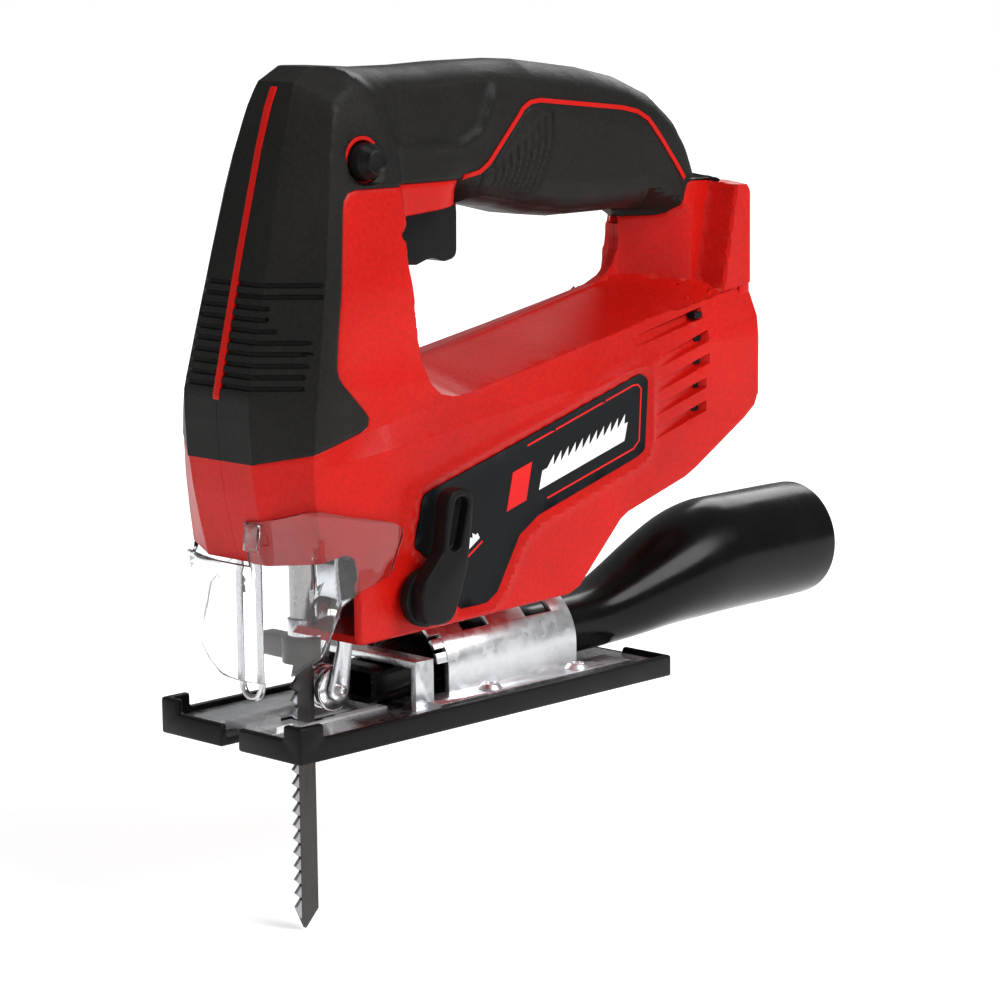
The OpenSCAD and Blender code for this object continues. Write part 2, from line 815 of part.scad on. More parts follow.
module crank_roller() {
    color("lightsteelblue") difference() {
        x_cyl(crank_pin_x0, gear_front_x - 0.4, crank_roller_r, 0, pin_z);
        x_cyl(crank_pin_x0 - 1, gear_front_x, crank_pin_r + run_c, 0, pin_z);
    }
}

// ---- plunger, blade clamp and blade ----

module shank_slot() {
    block([plunger_x - shank_w / 2 - 0.1, -blade_t / 2 - 0.1, 0],
        [plunger_x + shank_w / 2 + 0.1, blade_t / 2 + 0.1, blade_top_z + shank_l + 0.2]);
}

module plunger() {
    color("silver") difference() {
        union() {
            z_cyl(collar_z + 2, pin_z - yoke_h / 2 + 1, rod_r, plunger_x);
            z_cyl(pin_z + yoke_h / 2 - 1, rod_top_z, rod_r, plunger_x);
            block([plunger_x - yoke_t / 2, -yoke_hl, pin_z - yoke_h / 2],
                [plunger_x + yoke_t / 2, yoke_hl, pin_z + yoke_h / 2]);
        }
        block([plunger_x - yoke_t, -slot_hl + slot_h / 2, pin_z - slot_h / 2],
            [plunger_x + yoke_t, slot_hl - slot_h / 2, pin_z + slot_h / 2]);
        for (side = [-1, 1])
            x_cyl(plunger_x - yoke_t, plunger_x + yoke_t, slot_h / 2, side * (slot_hl - slot_h / 2), pin_z);
        shank_slot();
    }
}

module blade_holder() {
    color("gray") difference() {
        z_cyl(collar_z + 0.5, sleeve_top_z, holder_r, plunger_x);
        z_cyl(collar_z + 2, far, rod_r, plunger_x);
        shank_slot();
    }
}

module clamp_collar() {
    color("darkslategray") difference() {
        union() {
            z_cyl(collar_z, collar_z + collar_h, collar_r, plunger_x);
            block([plunger_x - 3, collar_r - 2, collar_z + 0.6],
                [plunger_x + 3, collar_r + 10, collar_z + collar_h - 0.8]);
        }
        z_cyl(0, far, holder_r + run_c, plunger_x);
        z_cyl(collar_z + 2, collar_z + collar_h - 1, holder_r + spring_pocket + 0.2, plunger_x);
    }
}

module collar_spring() {
    color("silver") translate([plunger_x, 0, collar_z + 2.6])
        coil(holder_r + 0.5, 0.3, 3.6, 3);
}

// Outline of the blade: shank, back, slanted tip and teeth
function blade_points() =
    let (back = blade_back_x, tips = back - blade_w, root = tips + 2.2,
        count = floor((blade_l - 6) / tooth_pitch))
    concat([[plunger_x - shank_w / 2, blade_top_z + shank_l], [plunger_x - shank_w / 2, blade_top_z],
        [root, blade_top_z - 1]],
        [for (k = [0:count - 1], step = [0, 1]) let (z = blade_top_z - 2 - tooth_pitch * k)
            step == 0 ? [root, z] : [tips, z - tooth_pitch * 0.55]],
        [[tips + 3.4, blade_tip_z], [back, blade_tip_z + 5], [back, blade_top_z],
            [plunger_x + shank_w / 2, blade_top_z], [plunger_x + shank_w / 2, blade_top_z + shank_l]]);

module saw_blade() {
    color("dimgray") side_prism(blade_points(), -blade_t / 2, blade_t / 2);
}

// ---- guide roller and orbit lever ----

module fork_pin() {
    color("silver") y_cyl(-arm_hw, arm_hw, fork_pin_r, fork_pin_x, fork_pin_z);
}

module pendulum_fork() {
    color("silver") difference() {
        union() {
            for (side = [-1, 1]) fork_arm(side);
            block([fork_pin_x - 3.5, -fork_y - fork_t, fork_pin_z - 16],
                [fork_pin_x - 2, fork_y + fork_t, fork_pin_z - 6]);
        }
        y_cyl(-20, 20, fork_pin_r + run_c, fork_pin_x, fork_pin_z);
        y_cyl(-20, 20, roller_pin_r, roller_x, roller_z);
    }
}

module fork_arm(side) {
    y0 = side > 0 ? fork_y : -fork_y - fork_t;
    y_cyl(y0, y0 + fork_t, 3.5, roller_x, roller_z);
    y_cyl(y0, y0 + fork_t, 4, fork_pin_x, fork_pin_z);
    side_prism([[roller_x - 3, roller_z + 1.8], [roller_x + 3.5, roller_z], [fork_pin_x + 4, fork_pin_z],
        [fork_pin_x - 4, fork_pin_z], [roller_x, roller_z + 12]], y0, y0 + fork_t);
}

module roller_pin() {
    color("silver") {
        y_cyl(-fork_y - fork_t - 1.4, fork_y + fork_t + 1.4, roller_pin_r, roller_x, roller_z);
        y_cyl(fork_y + fork_t + 1.4, fork_y + fork_t + 2.2, roller_pin_r + 1, roller_x, roller_z);
    }
}

module guide_roller() {
    color("lightgray") difference() {
        y_cyl(-roller_w / 2, roller_w / 2, roller_d / 2, roller_x, roller_z);
        difference() {
            y_cyl(-blade_t / 2 - 0.4, blade_t / 2 + 0.4, roller_d, roller_x, roller_z);
            y_cyl(-roller_w, roller_w, groove_r, roller_x, roller_z);
        }
        y_cyl(-roller_w, roller_w, roller_pin_r + run_c, roller_x, roller_z);
    }
}

lever_shaft_r = 3;
lever_y = half_w + label_t + 0.6;
lever_t = 6;
lever_l = 29;

module orbit_lever() {
    color("black") difference() {
        union() {
            y_cyl(-lever_y - lever_t, -lever_y, 8.4, lever_x, lever_z);
            y_cyl(-lever_y - 1, -fork_y - fork_t - 1.2, lever_shaft_r, lever_x, lever_z);
            y_cyl(-lever_y - lever_t - 2, -lever_y - 3, 5, lever_x + 8, lever_z + lever_l);
            side_prism([[lever_x - 6, lever_z + 4], [lever_x + 7, lever_z + 3],
                [lever_x + 13, lever_z + lever_l], [lever_x + 3, lever_z + lever_l]],
                -lever_y - lever_t - 1.5, -lever_y - 2.5);
        }
        side_prism([[lever_x + 2, lever_z + 9], [lever_x + 5, lever_z + 9],
            [lever_x + 10, lever_z + lever_l], [lever_x + 6, lever_z + lever_l]],
            -lever_y - lever_t - 3, -lever_y - lever_t);
    }
}

// ---- trigger and lock button ----

module trigger() {
    color("black") {
        side_prism([[trig_x - 11, trig_z1], [trig_x - 11, trig_z0 + 1], [trig_x - 8, trig_z0],
            [trig_x - 2, trig_z0 + 1.6], [trig_x + 4, trig_z0 + 0.4], [trig_x + 8.5, trig_z0],
            [trig_x + 11, trig_z0 + 3], [trig_x + 11, trig_z1]], -trig_hw, trig_hw);
        z_cyl(trig_z1 - 1, trig_z1 + 1.3, 2, trig_x - 6);
    }
}

module trigger_spring() {
    color("silver") translate([trig_x + 5, 0, trig_z1 + 0.4]) coil(2.6, 0.35, switch_z - trig_z1 - 0.8, 4);
}

lock_y = half_w * 0.73;

module lock_button() {
    color("black") {
        y_cyl(-lock_y - 5, -lock_y - 1, 3.6, lock_x, lock_z);
        y_cyl(-lock_y - 1.5, -8.5, lock_r, lock_x, lock_z);
    }
}

module button_spring() {
    color("silver") translate([lock_x, -3, lock_z]) rotate([90, 0, 0]) coil(2.6, 0.35, 5, 4);
}

// ---- base ----

module tilt_screws() {
    color("silver") for (x = window_x) translate([x + window_l / 2, 0, 0]) {
        z_cyl(tilt_z + bracket_r - bracket_t - 0.4, belly_z + wall_t + 5, tilt_screw_r);
        z_cyl(tilt_z + bracket_r - bracket_t - 3.6, tilt_z + bracket_r - bracket_t - 0.4, tilt_screw_r + 2);
    }
}

module bracket_section(t) {
    intersection() {
        circle(bracket_r - t);
        translate([-far, 0]) square([2 * far, far]);
    }
    translate([-bracket_r + t, flange_z - tilt_z - t])
        square([2 * (bracket_r - t), tilt_z - flange_z + t]);
}

module tilt_bracket() {
    color("silver") difference() {
        union() {
            translate([bracket_x0, 0, tilt_z]) rotate([90, 0, 90]) linear_extrude(bracket_l)
                bracket_section(0);
            for (side = [-1, 1]) block([bracket_x0 - 12, side > 0 ? bracket_r - bracket_t : -flange_hy,
                flange_z], [bracket_x1 + 14, side > 0 ? flange_hy : -bracket_r + bracket_t,
                flange_z + flange_t]);
            // strap across the front
            difference() {
                block([bracket_x0 - 17, -bracket_r - 4, flange_z], [bracket_x0 - 10, bracket_r + 4,
                    strap_z + flange_t]);
                block([bracket_x0 - 18, -bracket_r - 2, 0], [bracket_x0 - 9, bracket_r + 2, strap_z]);
            }
            // locking teeth at the front edge
            for (a = [-75:15:75]) translate([0, 0, tilt_z]) rotate([a, 0, 0])
                block([bracket_x0 - 4, -1.5, bracket_r - bracket_t + 0.3],
                    [bracket_x0 + 1, 1.5, bracket_r - 0.3]);
        }
        translate([bracket_x0 - 1, 0, tilt_z]) rotate([90, 0, 90]) linear_extrude(bracket_l + 2)
            bracket_section(bracket_t);
        for (x = window_x) intersection() {
            block([x, -far, tilt_z], [x + window_l, far, far]);
            union() for (side = [-1, 1]) translate([0, 0, tilt_z]) rotate([side * window_angle / 2, 0, 0])
                block([x, -bracket_r * sin(window_angle / 2), 1],
                    [x + window_l, bracket_r * sin(window_angle / 2), far]);
        }
        for (x = base_screw_x, side = [-1, 1])
            z_cyl(0, flange_z + 5, 1.6, x, side * base_screw_y);
    }
}

throat_x0 = -shoe_l / 2 + 8;
throat_x1 = plunger_x + 22;
slot_hw = 2;
tilt_max = 30;
// Half width that the blade needs in the sole when the shoe is tilted
blade_swing = tilt_z * tan(tilt_max) + blade_t + pass_c;
swing_x0 = blade_back_x - blade_w - 2;
swing_x1 = blade_back_x + 1.5;

module blade_window() {
    block([swing_x0, -blade_swing, -1], [swing_x1, blade_swing, far]);
}

module base_plate() {
    color("lightgray") difference() {
        block([-shoe_l / 2 + 6, -shoe_w / 2 + shoe_wall, plate_z],
            [shoe_l / 2 - 2, shoe_w / 2 - shoe_wall, plate_top]);
        block([-far, -throat_w / 2, 0], [throat_x1, throat_w / 2, far]);
        for (x = base_screw_x, side = [-1, 1])
            z_cyl(0, far, 1.6, x, side * base_screw_y);
    }
}

module base_shoe() {
    color("black") difference() {
        union() {
            block([-shoe_l / 2, -shoe_w / 2, 0], [shoe_l / 2, shoe_w / 2, rim_h]);
            for (side = [-1, 1]) block([-shoe_l / 2, side > 0 ? shoe_w / 2 - 7 : -shoe_w / 2, 0],
                [-shoe_l / 2 + 9, side > 0 ? shoe_w / 2 : -shoe_w / 2 + 7, horn_h]);
        }
        block([-shoe_l / 2 + shoe_wall, -shoe_w / 2 + shoe_wall, plate_z],
            [shoe_l / 2 - shoe_wall + 0.4, shoe_w / 2 - shoe_wall, far]);
        block([-far, -slot_hw - 1.5, -1], [throat_x1 - 3, slot_hw + 1.5, far]);
        blade_window();
        // the duct slides out over the rear rim
        block([0, -duct_r - pass_c, plate_top], [far, duct_r + pass_c, far]);
    }
}

module splinter_insert() {
    color("lightcyan", 0.4) difference() {
        block([throat_x0, -throat_w / 2 + 0.1, plate_z], [throat_x1 - 0.1, throat_w / 2 - 0.1, plate_top + 0.6]);
        block([-far, -slot_hw, 0], [roller_x + roller_d, slot_hw, far]);
        blade_window();
        block([swing_x1 - 1, -fork_y - fork_t - 2, plate_z + 1],
            [roller_x + roller_d, fork_y + fork_t + 3, far]);
    }
}

module bracket_screws() {
    color("silver") for (x = base_screw_x, side = [-1, 1]) {
        z_cyl(plate_z, flange_z + flange_t, 1.6, x, side * base_screw_y);
        difference() {
            translate([x, side * base_screw_y, flange_z + flange_t]) cylinder(r1 = 3.6, r2 = 2.4, h = 1.6);
            z_cyl(flange_z + flange_t + 0.6, far, 1.2, x, side * base_screw_y);
        }
    }
}

// ---- dust tube ----

module duct_section(t) {
    intersection() {
        translate([0, tilt_z - 1]) circle(duct_r - t);
        translate([-far, duct_floor + t]) square([2 * far, far]);
    }
}

// The round-bottomed duct under the bracket, from x0 to x1
module duct(t, x0, x1) {
    translate([x0, 0, 0]) rotate([90, 0, 90]) linear_extrude(x1 - x0) duct_section(t);
}

// The part that widens from the duct to the round tube. A small lip at each end keeps it clear of
// the faces of the pieces it joins.
neck_lip = 0.3;

module neck(t) {
    hull() {
        duct(t - neck_lip, neck_x - 1, neck_x - 1 + eps);
        translate([tube_x0 + 0.5, 0, tube_z]) rotate([0, 90, 0])
            cylinder(r = tube_d / 2 - t - neck_lip, h = eps, $fn = 40);
    }
}

module dust_tube() {
    color("black") difference() {
        union() {
            block([nozzle_x0, -nose_hw, duct_floor], [duct_x0 + 1, nose_hw, strap_z - pass_c]);
            duct(0, duct_x0, neck_x - 0.5);
            neck(0);
            x_cyl(tube_x0, tube_end_x, tube_d / 2, 0, tube_z);
        }
        block([nozzle_x0 - 1, -nose_hw + nose_wall, duct_floor + nose_wall],
            [duct_x0 + 2, nose_hw - nose_wall, strap_z - pass_c - nose_wall]);
        duct(tube_wall, duct_x0 + 1.5, neck_x - 0.5);
        neck(tube_wall);
        x_cyl(tube_x0, tube_end_x + 1, tube_d / 2 - tube_wall, 0, tube_z);
    }
}

housing_left();
housing_right();
skin_left();
skin_right();
grip_pad_left();
grip_pad_right();
label_left();
label_right();
chip_guard();
wire_guard();
housing_screws();
terminal_block();
battery_contacts();
switch_module();
power_leads();
motor_can();
motor_magnets();
motor_end_bell();
carbon_brushes();
front_bearing();
rear_bearing();
armature_shaft();
armature_core();
commutator();
cooling_fan();
pinion();
gear_frame();
upper_guide();
plunger_bushings();
plunger_seal();
gear_pin();
gear_clip();
main_gear();
counterweight();
crank_pin();
crank_roller();
plunger();
blade_holder();
clamp_collar();
collar_spring();
saw_blade();
fork_pin();
pendulum_fork();
roller_pin();
guide_roller();
orbit_lever();
trigger();
trigger_spring();
lock_button();
button_spring();
tilt_screws();
tilt_bracket();
base_plate();
base_shoe();
splinter_insert();
bracket_screws();
dust_tube();
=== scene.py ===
"""The looks of a cordless jigsaw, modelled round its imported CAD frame.

Side outlines are lists of x and z in millimetres, seen from the right-hand side (-Y).
"""

import math

import bpy
import numpy as np
from mathutils import Matrix, Vector


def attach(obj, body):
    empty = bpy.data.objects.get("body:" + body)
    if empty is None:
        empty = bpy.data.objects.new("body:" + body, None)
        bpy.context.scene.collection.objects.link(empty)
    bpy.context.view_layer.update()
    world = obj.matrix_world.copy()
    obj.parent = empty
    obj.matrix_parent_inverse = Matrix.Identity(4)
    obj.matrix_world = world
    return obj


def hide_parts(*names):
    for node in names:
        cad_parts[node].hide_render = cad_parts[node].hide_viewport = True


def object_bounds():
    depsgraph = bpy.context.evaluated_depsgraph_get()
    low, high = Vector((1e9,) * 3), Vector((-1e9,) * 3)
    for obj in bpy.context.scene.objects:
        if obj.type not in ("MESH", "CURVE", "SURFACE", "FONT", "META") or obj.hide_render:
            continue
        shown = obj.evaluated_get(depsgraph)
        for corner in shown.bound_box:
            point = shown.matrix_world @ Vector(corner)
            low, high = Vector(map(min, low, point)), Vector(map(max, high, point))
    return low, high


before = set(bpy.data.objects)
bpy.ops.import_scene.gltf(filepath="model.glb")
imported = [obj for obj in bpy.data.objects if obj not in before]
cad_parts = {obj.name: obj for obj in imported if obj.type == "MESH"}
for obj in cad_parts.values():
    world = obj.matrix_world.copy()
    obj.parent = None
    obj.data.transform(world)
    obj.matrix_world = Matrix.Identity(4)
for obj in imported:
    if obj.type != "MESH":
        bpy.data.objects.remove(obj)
CAD_LOW, CAD_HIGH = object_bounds()

bl_info = {
    "name": "Cordless Jigsaw",
    "version": (1, 0, 0),
    "blender": (4, 5, 0),
    "location": "View3D > Sidebar > Jigsaw",
    "description": "Models the housing, guard, lever, shoe and dust tube of a cordless jigsaw",
    "category": "Object",
}

MM = 0.001

# ---- side outlines of the housing ----

NOSE = [(-46, 186.4), (-52.5, 182.5), (-55.5, 176), (-59.5, 164.3), (-66.8, 137.7), (-72.6, 115.5),
        (-76.6, 99.6), (-76.6, 92), (-75.9, 81), (-74.6, 72), (-72.4, 62), (-70, 52.6)]
TOP = [(-46, 186.4), (-36, 186.2), (-22, 185.2), (-6, 185.1), (10, 185.6), (32, 185.6), (59, 182.2),
       (75, 178.8), (87, 174), (96.6, 166.6), (102.8, 158), (107.5, 146.8)]
UNDER_GRIP = [(4.1, 148.5), (8, 145.6), (15, 144.6), (22, 143.6), (35, 140.6), (50, 138.9), (66, 138.9),
              (77, 139.4), (82.4, 136.4)]
HOLE_REST = [(81.8, 134.2), (82, 130.5), (81.6, 126.5), (79.4, 122), (75.8, 119), (70, 116.6),
             (45.7, 111.4), (16.7, 105.4), (-4, 101.5), (-12, 100.6), (-18, 101.4), (-22, 104.2),
             (-24.2, 109), (-25.4, 114), (-28.2, 131), (-28.4, 135), (-27, 139.4), (-23.5, 142.2),
             (-19, 142.9), (0.9, 144.2)]
COLOUR_LINE = [(-75.9, 81), (-65.7, 83.9), (-47.2, 87.9), (-44.4, 89.2), (-44, 91.6), (-45.6, 93.6),
               (-53.4, 101.3), (-55, 103.4), (-55.5, 106), (-54.6, 113), (-49, 147.5), (-48.3, 150.6),
               (-46.4, 152.8), (-43.5, 153.5), (-32, 153.4), (1.1, 153.2), (4.1, 148.5)]
COLUMN_LINE = [(82.4, 136.4), (90, 136.6), (92.7, 137.4), (94.4, 139.6), (95.4, 143), (96.6, 146),
               (98.6, 146.8)]
SHOULDER = [(98.6, 146.8), (113.6, 146.2), (115.2, 144.4)]
BELLY = [(-52, 47), (-52, 31.6), (-51.2, 29.6), (-49.4, 29.2), (32, 31.2), (36.5, 33), (53.7, 50.2),
         (57, 52), (82, 59.2), (87, 61.5), (109, 74), (114, 77.6), (115.2, 80)]
THROAT = [(-70, 52.6), (-60, 54.6), (-55.2, 55.4), (-52.8, 54), (-52, 50.6), (-52, 47)]
OPENING_EDGE = [(-29.6, 146), (-28.6, 142), (-27.9, 130.8), (-26.4, 119.7), (-24.9, 111.3), (-23.4, 104.4),
                (-20.8, 98.6), (-16.8, 95.2), (-11, 94), (-4, 94.7), (45.7, 103.6)]
FLOOR = [(-12, 100), (16.7, 105.2), (45.7, 111.2), (70, 116.4), (81, 118.8), (116, 126)]
CAP_EDGE = ([142, 153, 165, 176, 186], [-27, -27.9, -28.8, -33.4, -39.1])
LEDGE = [(-80, 80.5), (-64.4, 83.7), (-44.5, 88), (-19.3, 92.4), (45.7, 103.6), (89.5, 111.4), (116, 115.6)]
STRIPE = [(-80, 76.5), (-65.7, 79.3), (-39.8, 82.6), (62.3, 95), (110.9, 104.4), (116, 105.4)]
LABEL = [(-31, 54.4, 2), (-27.4, 68.6, 3), (12.4, 79.4, 2), (61.6, 93.2, 2.4), (64.9, 91.2, 2.4),
         (63.4, 70.2, 2.4), (59.4, 68.4, 2), (18.4, 56.8, 5), (10.6, 52, 4), (1.6, 36.8, 2.4),
         (-2.4, 34.4, 2.4), (-13.6, 34.1, 2.4), (-16, 43, 2)]
RECESS = [(-26.5, 184, 2), (-28.5, 176, 3), (-25.5, 164.6, 3), (1.4, 163, 5), (9.2, 166.4, 4),
          (17.6, 182.6, 2), (12, 184, 2)]
RED_LINE = [(2.6, 153.6), (8.4, 155), (12, 157.4), (26, 172), (29, 173.6), (33, 174), (68, 170.2),
            (74.5, 168.8), (79.1, 166.4), (84, 161.2), (92.6, 151), (95, 147.8)]
VENTS = [((90.5, 107.8), (61.8, 102.2)), ((90.1, 100.9), (70.1, 95.6)), ((89.7, 94), (69.4, 88.4)),
         ((89.3, 87), (68.8, 81.4)), ((88.9, 80), (68.4, 74.4))]
NOSE_DEPTHS = ([50, 69, 99, 126, 153, 181], [6.2, 8.6, 12, 11, 9, 7.6])
# cooling grooves: half width and the width of a sloping side
VENT_HALF, VENT_SIDE = 1.6, 0.4
# grip grooves across the nose: highest middle, pitch, half width, half width of the floor, depths
RIB_TOP, RIB_PITCH = 128.9, 3.02
RIB_HALF, RIB_FLOOR = 0.75, 0.4
RIB_DEPTH, RIB_SIDE_DEPTH = 0.9, 0.5
# how far back the grooves go, and the half width of the nose's blunt front
RIB_BACK, RIB_FRONT_HALF = 11, 8
RIB_REACH = [24, 24, 14, 14, 16, 24, 24, 24, 24, 24]
LOCK = (-39.5, 161)
SLOPE_WIDTHS = ([28, 51, 64, 76, 99.4, 126, 152, 172, 180, 186.5],
                [28.6, 29, 29.2, 29.3, 29.4, 26.6, 23, 19.5, 17, 13])
ROUND = ([0, 0.04, 0.12, 0.3, 0.55, 0.8, 1], [0.14, 0.32, 0.5, 0.72, 0.89, 0.97, 1])
# half widths of handle, handle bar, shelf round the hand opening, and the widest place
GRIP_HALF, BAR_HALF, SHELF_HALF, WIDEST = 16.6, 16.8, 26, 30
# how far the chamfer along the barrel goes in
CHAMFER = 3.4
# front and top of the rear column, top of the hand opening, end of the rounded barrel
COLUMN_FRONT, COLUMN_TOP, OPENING_TOP, BARREL_END = 80.6, 147.5, 139.5, 45.7
# where the flare to the battery dock starts: x at two heights
FLARE, FLARE_Z = (99.5, 106.2), (113, 147)
# the skins stand proud of the red, the seam stays open by twice its gap
PROUD, SEAM_GAP = 0.5, 0.06
# spacing of the cuts across housing and skins, and the first cut across a thin layer
GRID, FIRST_CUT = 1.5, 0.3
# how near vertices are merged in new covers and in copies of CAD nodes, in metres
WELD, FRAME_WELD = 0.00003, 0.000004


# ---- outlines ----


def arc(begin, corner, end, t):
    """A point of the curve that runs from begin to end and bends towards the corner."""
    return tuple(begin * (1 - t) ** 2 + corner * 2 * t * (1 - t) + end * t * t)


def fillet(corners, steps=5):
    """An outline whose corners (x, z, radius) are replaced by short curves."""
    points = []
    for i, corner in enumerate(corners):
        here = Vector(corner[:2])
        if len(corner) < 3:
            points.append(tuple(here))
            continue
        before = Vector(corners[i - 1][:2]) - here
        after = Vector(corners[(i + 1) % len(corners)][:2]) - here
        reach = corner[2] / math.tan(before.angle(after) / 2)
        start = here + before.normalized() * min(reach, before.length * 0.48)
        end = here + after.normalized() * min(reach, after.length * 0.48)
        points += [arc(start, here, end, k / steps) for k in range(steps + 1)]
    return points


def ribbon(line, width):
    """The outline of a band of that width along an open line."""
    left, right = [], []
    for i, point in enumerate(line):
        step = Vector(line[min(i + 1, len(line) - 1)]) - Vector(line[max(i - 1, 0)])
        across = Vector((-step.y, step.x)).normalized() * width / 2
        left.append(tuple(Vector(point) + across))
        right.append(tuple(Vector(point) - across))
    return left + right[::-1]


def box(x0, z0, x1, z1):
    """A rectangle as an outline."""
    return [(x0, z0), (x1, z0), (x1, z1), (x0, z1)]


def ring(radius, centre=(0, 0), count=32):
    """A circle as an outline."""
    return [(centre[0] + radius * math.cos(2 * math.pi * k / count),
             centre[1] + radius * math.sin(2 * math.pi * k / count)) for k in range(count)]


def distance(x, z, line):
    """Distance of each point to an open line."""
    best = np.full(x.shape, 1e9)
    for (ax, az), (bx, bz) in zip(line, line[1:]):
        dx, dz = bx - ax, bz - az
        t = np.clip(((x - ax) * dx + (z - az) * dz) / (dx * dx + dz * dz), 0, 1)
        best = np.minimum(best, np.hypot(x - ax - t * dx, z - az - t * dz))
    return best


def inside(x, z, outline):
    """True for each point within a closed outline."""
    found = np.zeros(x.shape, bool)
    for (ax, az), (bx, bz) in zip(outline, outline[1:] + outline[:1]):
        if az == bz:
            continue
        crosses = ((az > z) != (bz > z)) & (x < (bx - ax) * (z - az) / (bz - az) + ax)
        found ^= crosses
    return found


def depth_inside(x, z, outline):
    """Distance to a closed outline, above 0 within it."""
    gap = distance(x, z, outline + outline[:1])
    return np.where(inside(x, z, outline), gap, -gap)


def ease(value, low, high):
    """A smooth step from 0 at low to 1 at high."""
    t = np.clip((value - low) / (high - low), 0, 1)
    return t * t * (3 - 2 * t)


def lesser(a, b, blend):
    """The smaller of two, with a soft corner."""
    t = np.clip(0.5 + 0.5 * (b - a) / blend, 0, 1)
    return b * (1 - t) + a * t - blend * t * (1 - t)


def height(line, x):
    """The z of a line that runs along x."""
    return np.interp(x, [p[0] for p in line], [p[1] for p in line])


# ---- the outer surface of the housing ----


def body_width(x, z):
    """Half width of the housing's outer surface at each side position, in millimetres."""
    slope = np.interp(z, *SLOPE_WIDTHS)
    behind_cap = x - np.interp(z, *CAP_EDGE)
    grip = ease(behind_cap, -1.5, 7) * ease(z, 136, 147)
    ledge = height(LEDGE, x)
    stripe = height(STRIPE, x)
    band = np.clip((z - stripe) / (ledge - stripe), 0, 1)
    slope = slope - CHAMFER * band * (1 - ease(z, 102, 130) * (x < -20)) * ease(x, -66, -40)
    full = slope * (1 - grip) + GRIP_HALF * grip
    # nose: a blunt front, two facets, and sides that widen slowly
    bow = np.interp(z, *NOSE_DEPTHS)
    facets = np.interp(distance(x, z, NOSE) / bow, [0, 1, 3.5, 4], [0.44, 0.92, 1, 1.2])
    full = lesser(full, full * facets, 0.6)
    # cap and grip round over to the top seam
    top = distance(x, z, TOP)
    cap = np.interp(top, [0, 0.8, 2.4, 5.5, 13.5, 33], [9, 11.6, 14.4, 17.2, 20.4, 24])
    cap = cap + 9 * ease(top, 15, 40)
    bar = BAR_HALF * np.interp(top, [0, 1, 3, 6, 10, 15], [0.3, 0.5, 0.73, 0.9, 0.98, 1])
    bar = bar + WIDEST * ease(top, 14, 20)
    over = ease(behind_cap, -2, 6)
    full = lesser(full, cap * (1 - over) + bar * over, 1)
    under = distance(x, z, UNDER_GRIP)
    bar = BAR_HALF * np.interp(under, [0, 1, 3, 6, 9], [0.34, 0.56, 0.79, 0.95, 1])
    full = lesser(full, bar + WIDEST * ease(under, 9, 16) + WIDEST * ease(x, 80, 84), 1)
    # the surface round the hand opening runs in from its crisp near edge to the middle seam
    hole = distance(x, z, HOLE_REST)
    share = hole / (hole + distance(x, z, OPENING_EDGE) + 1e-6)
    floor = height(FLOOR, x)
    sunk = np.clip((floor - z) / (floor - ledge), 0, 1)
    share = share + (sunk - share) * ease(x, -6, 10)
    open_side = inside(x, z, OPENING_EDGE + [(BARREL_END, 300), (-29.6, 300)])
    open_side = np.where(x < 10, open_side, z > ledge) & (z < OPENING_TOP)
    shelf = SHELF_HALF * (0.06 + 0.94 * share)
    full = np.where(open_side & (x < COLUMN_FRONT), np.minimum(full, shelf), full)
    rounded = np.minimum(full, full * np.interp(hole / 2.6, *ROUND))
    full = np.where((z >= OPENING_TOP) & (x < 20), rounded, full)
    # the rear column: two slanting faces that meet in the seam, then a flare to the battery dock
    flare = ease(x - np.interp(z, FLARE_Z, FLARE), 0, 3.6)
    post = lesser(GRIP_HALF + 0 * x, 0.96 * (x - 80.4) + 20 * ease(z, 137, 149), 1.5) + 10.2 * flare
    rear = np.minimum(-lesser(-post, -shelf, 1.5), 29.4 - CHAMFER * band)
    full = np.where((x >= COLUMN_FRONT) & (z > ledge) & (z < COLUMN_TOP), rear, full)
    # the rims of belly and shoulder are rounded
    full = np.minimum(full, np.interp(distance(x, z, BELLY), [0, 0.5, 1.6], [27.2, 28.5, WIDEST]))
    shoulder = np.interp(distance(x, z, SHOULDER), [0, 0.8, 2.6], [17.4, 26, WIDEST])
    return np.minimum(full, shoulder + WIDEST * (z > COLUMN_TOP))


def details(x, z, width):
    """Raised and sunk details: bead round the label, cooling grooves, cap recess, button pocket."""
    label = depth_inside(x, z, fillet(LABEL, 2))
    frame_bead = np.interp(label, [-4.4, -3.4, -2.2, -1.4, -0.3, 0.2], [0, 0.5, 0.5, -0.1, -0.1, -0.5])
    width = width + frame_bead * ease(x, -36, -34)
    for (ax, az), (bx, bz) in VENTS:
        along = np.clip((ax - x) / (ax - bx), 0, 1)
        off = np.abs(z - (az + (bz - az) * (ax - x) / (ax - bx)))
        ends = (x < ax + VENT_HALF) & (x > bx)
        groove = np.interp(off, [0, VENT_HALF - VENT_SIDE, VENT_HALF], [1, 1, 0])
        width = width - groove * ends * (2.7 - 2.5 * along)
    recess = depth_inside(x, z, fillet(RECESS, 3))
    width = width - np.interp(recess, [-2.4, -1.2, 0, 1.6], [0, -0.35, 0, 1.3]) * ease(180.5 - z, -1, 4)
    return width - 0.8 * (depth_inside(x, z, ring(6.1, LOCK)) > -0.3)


# ---- materials ----


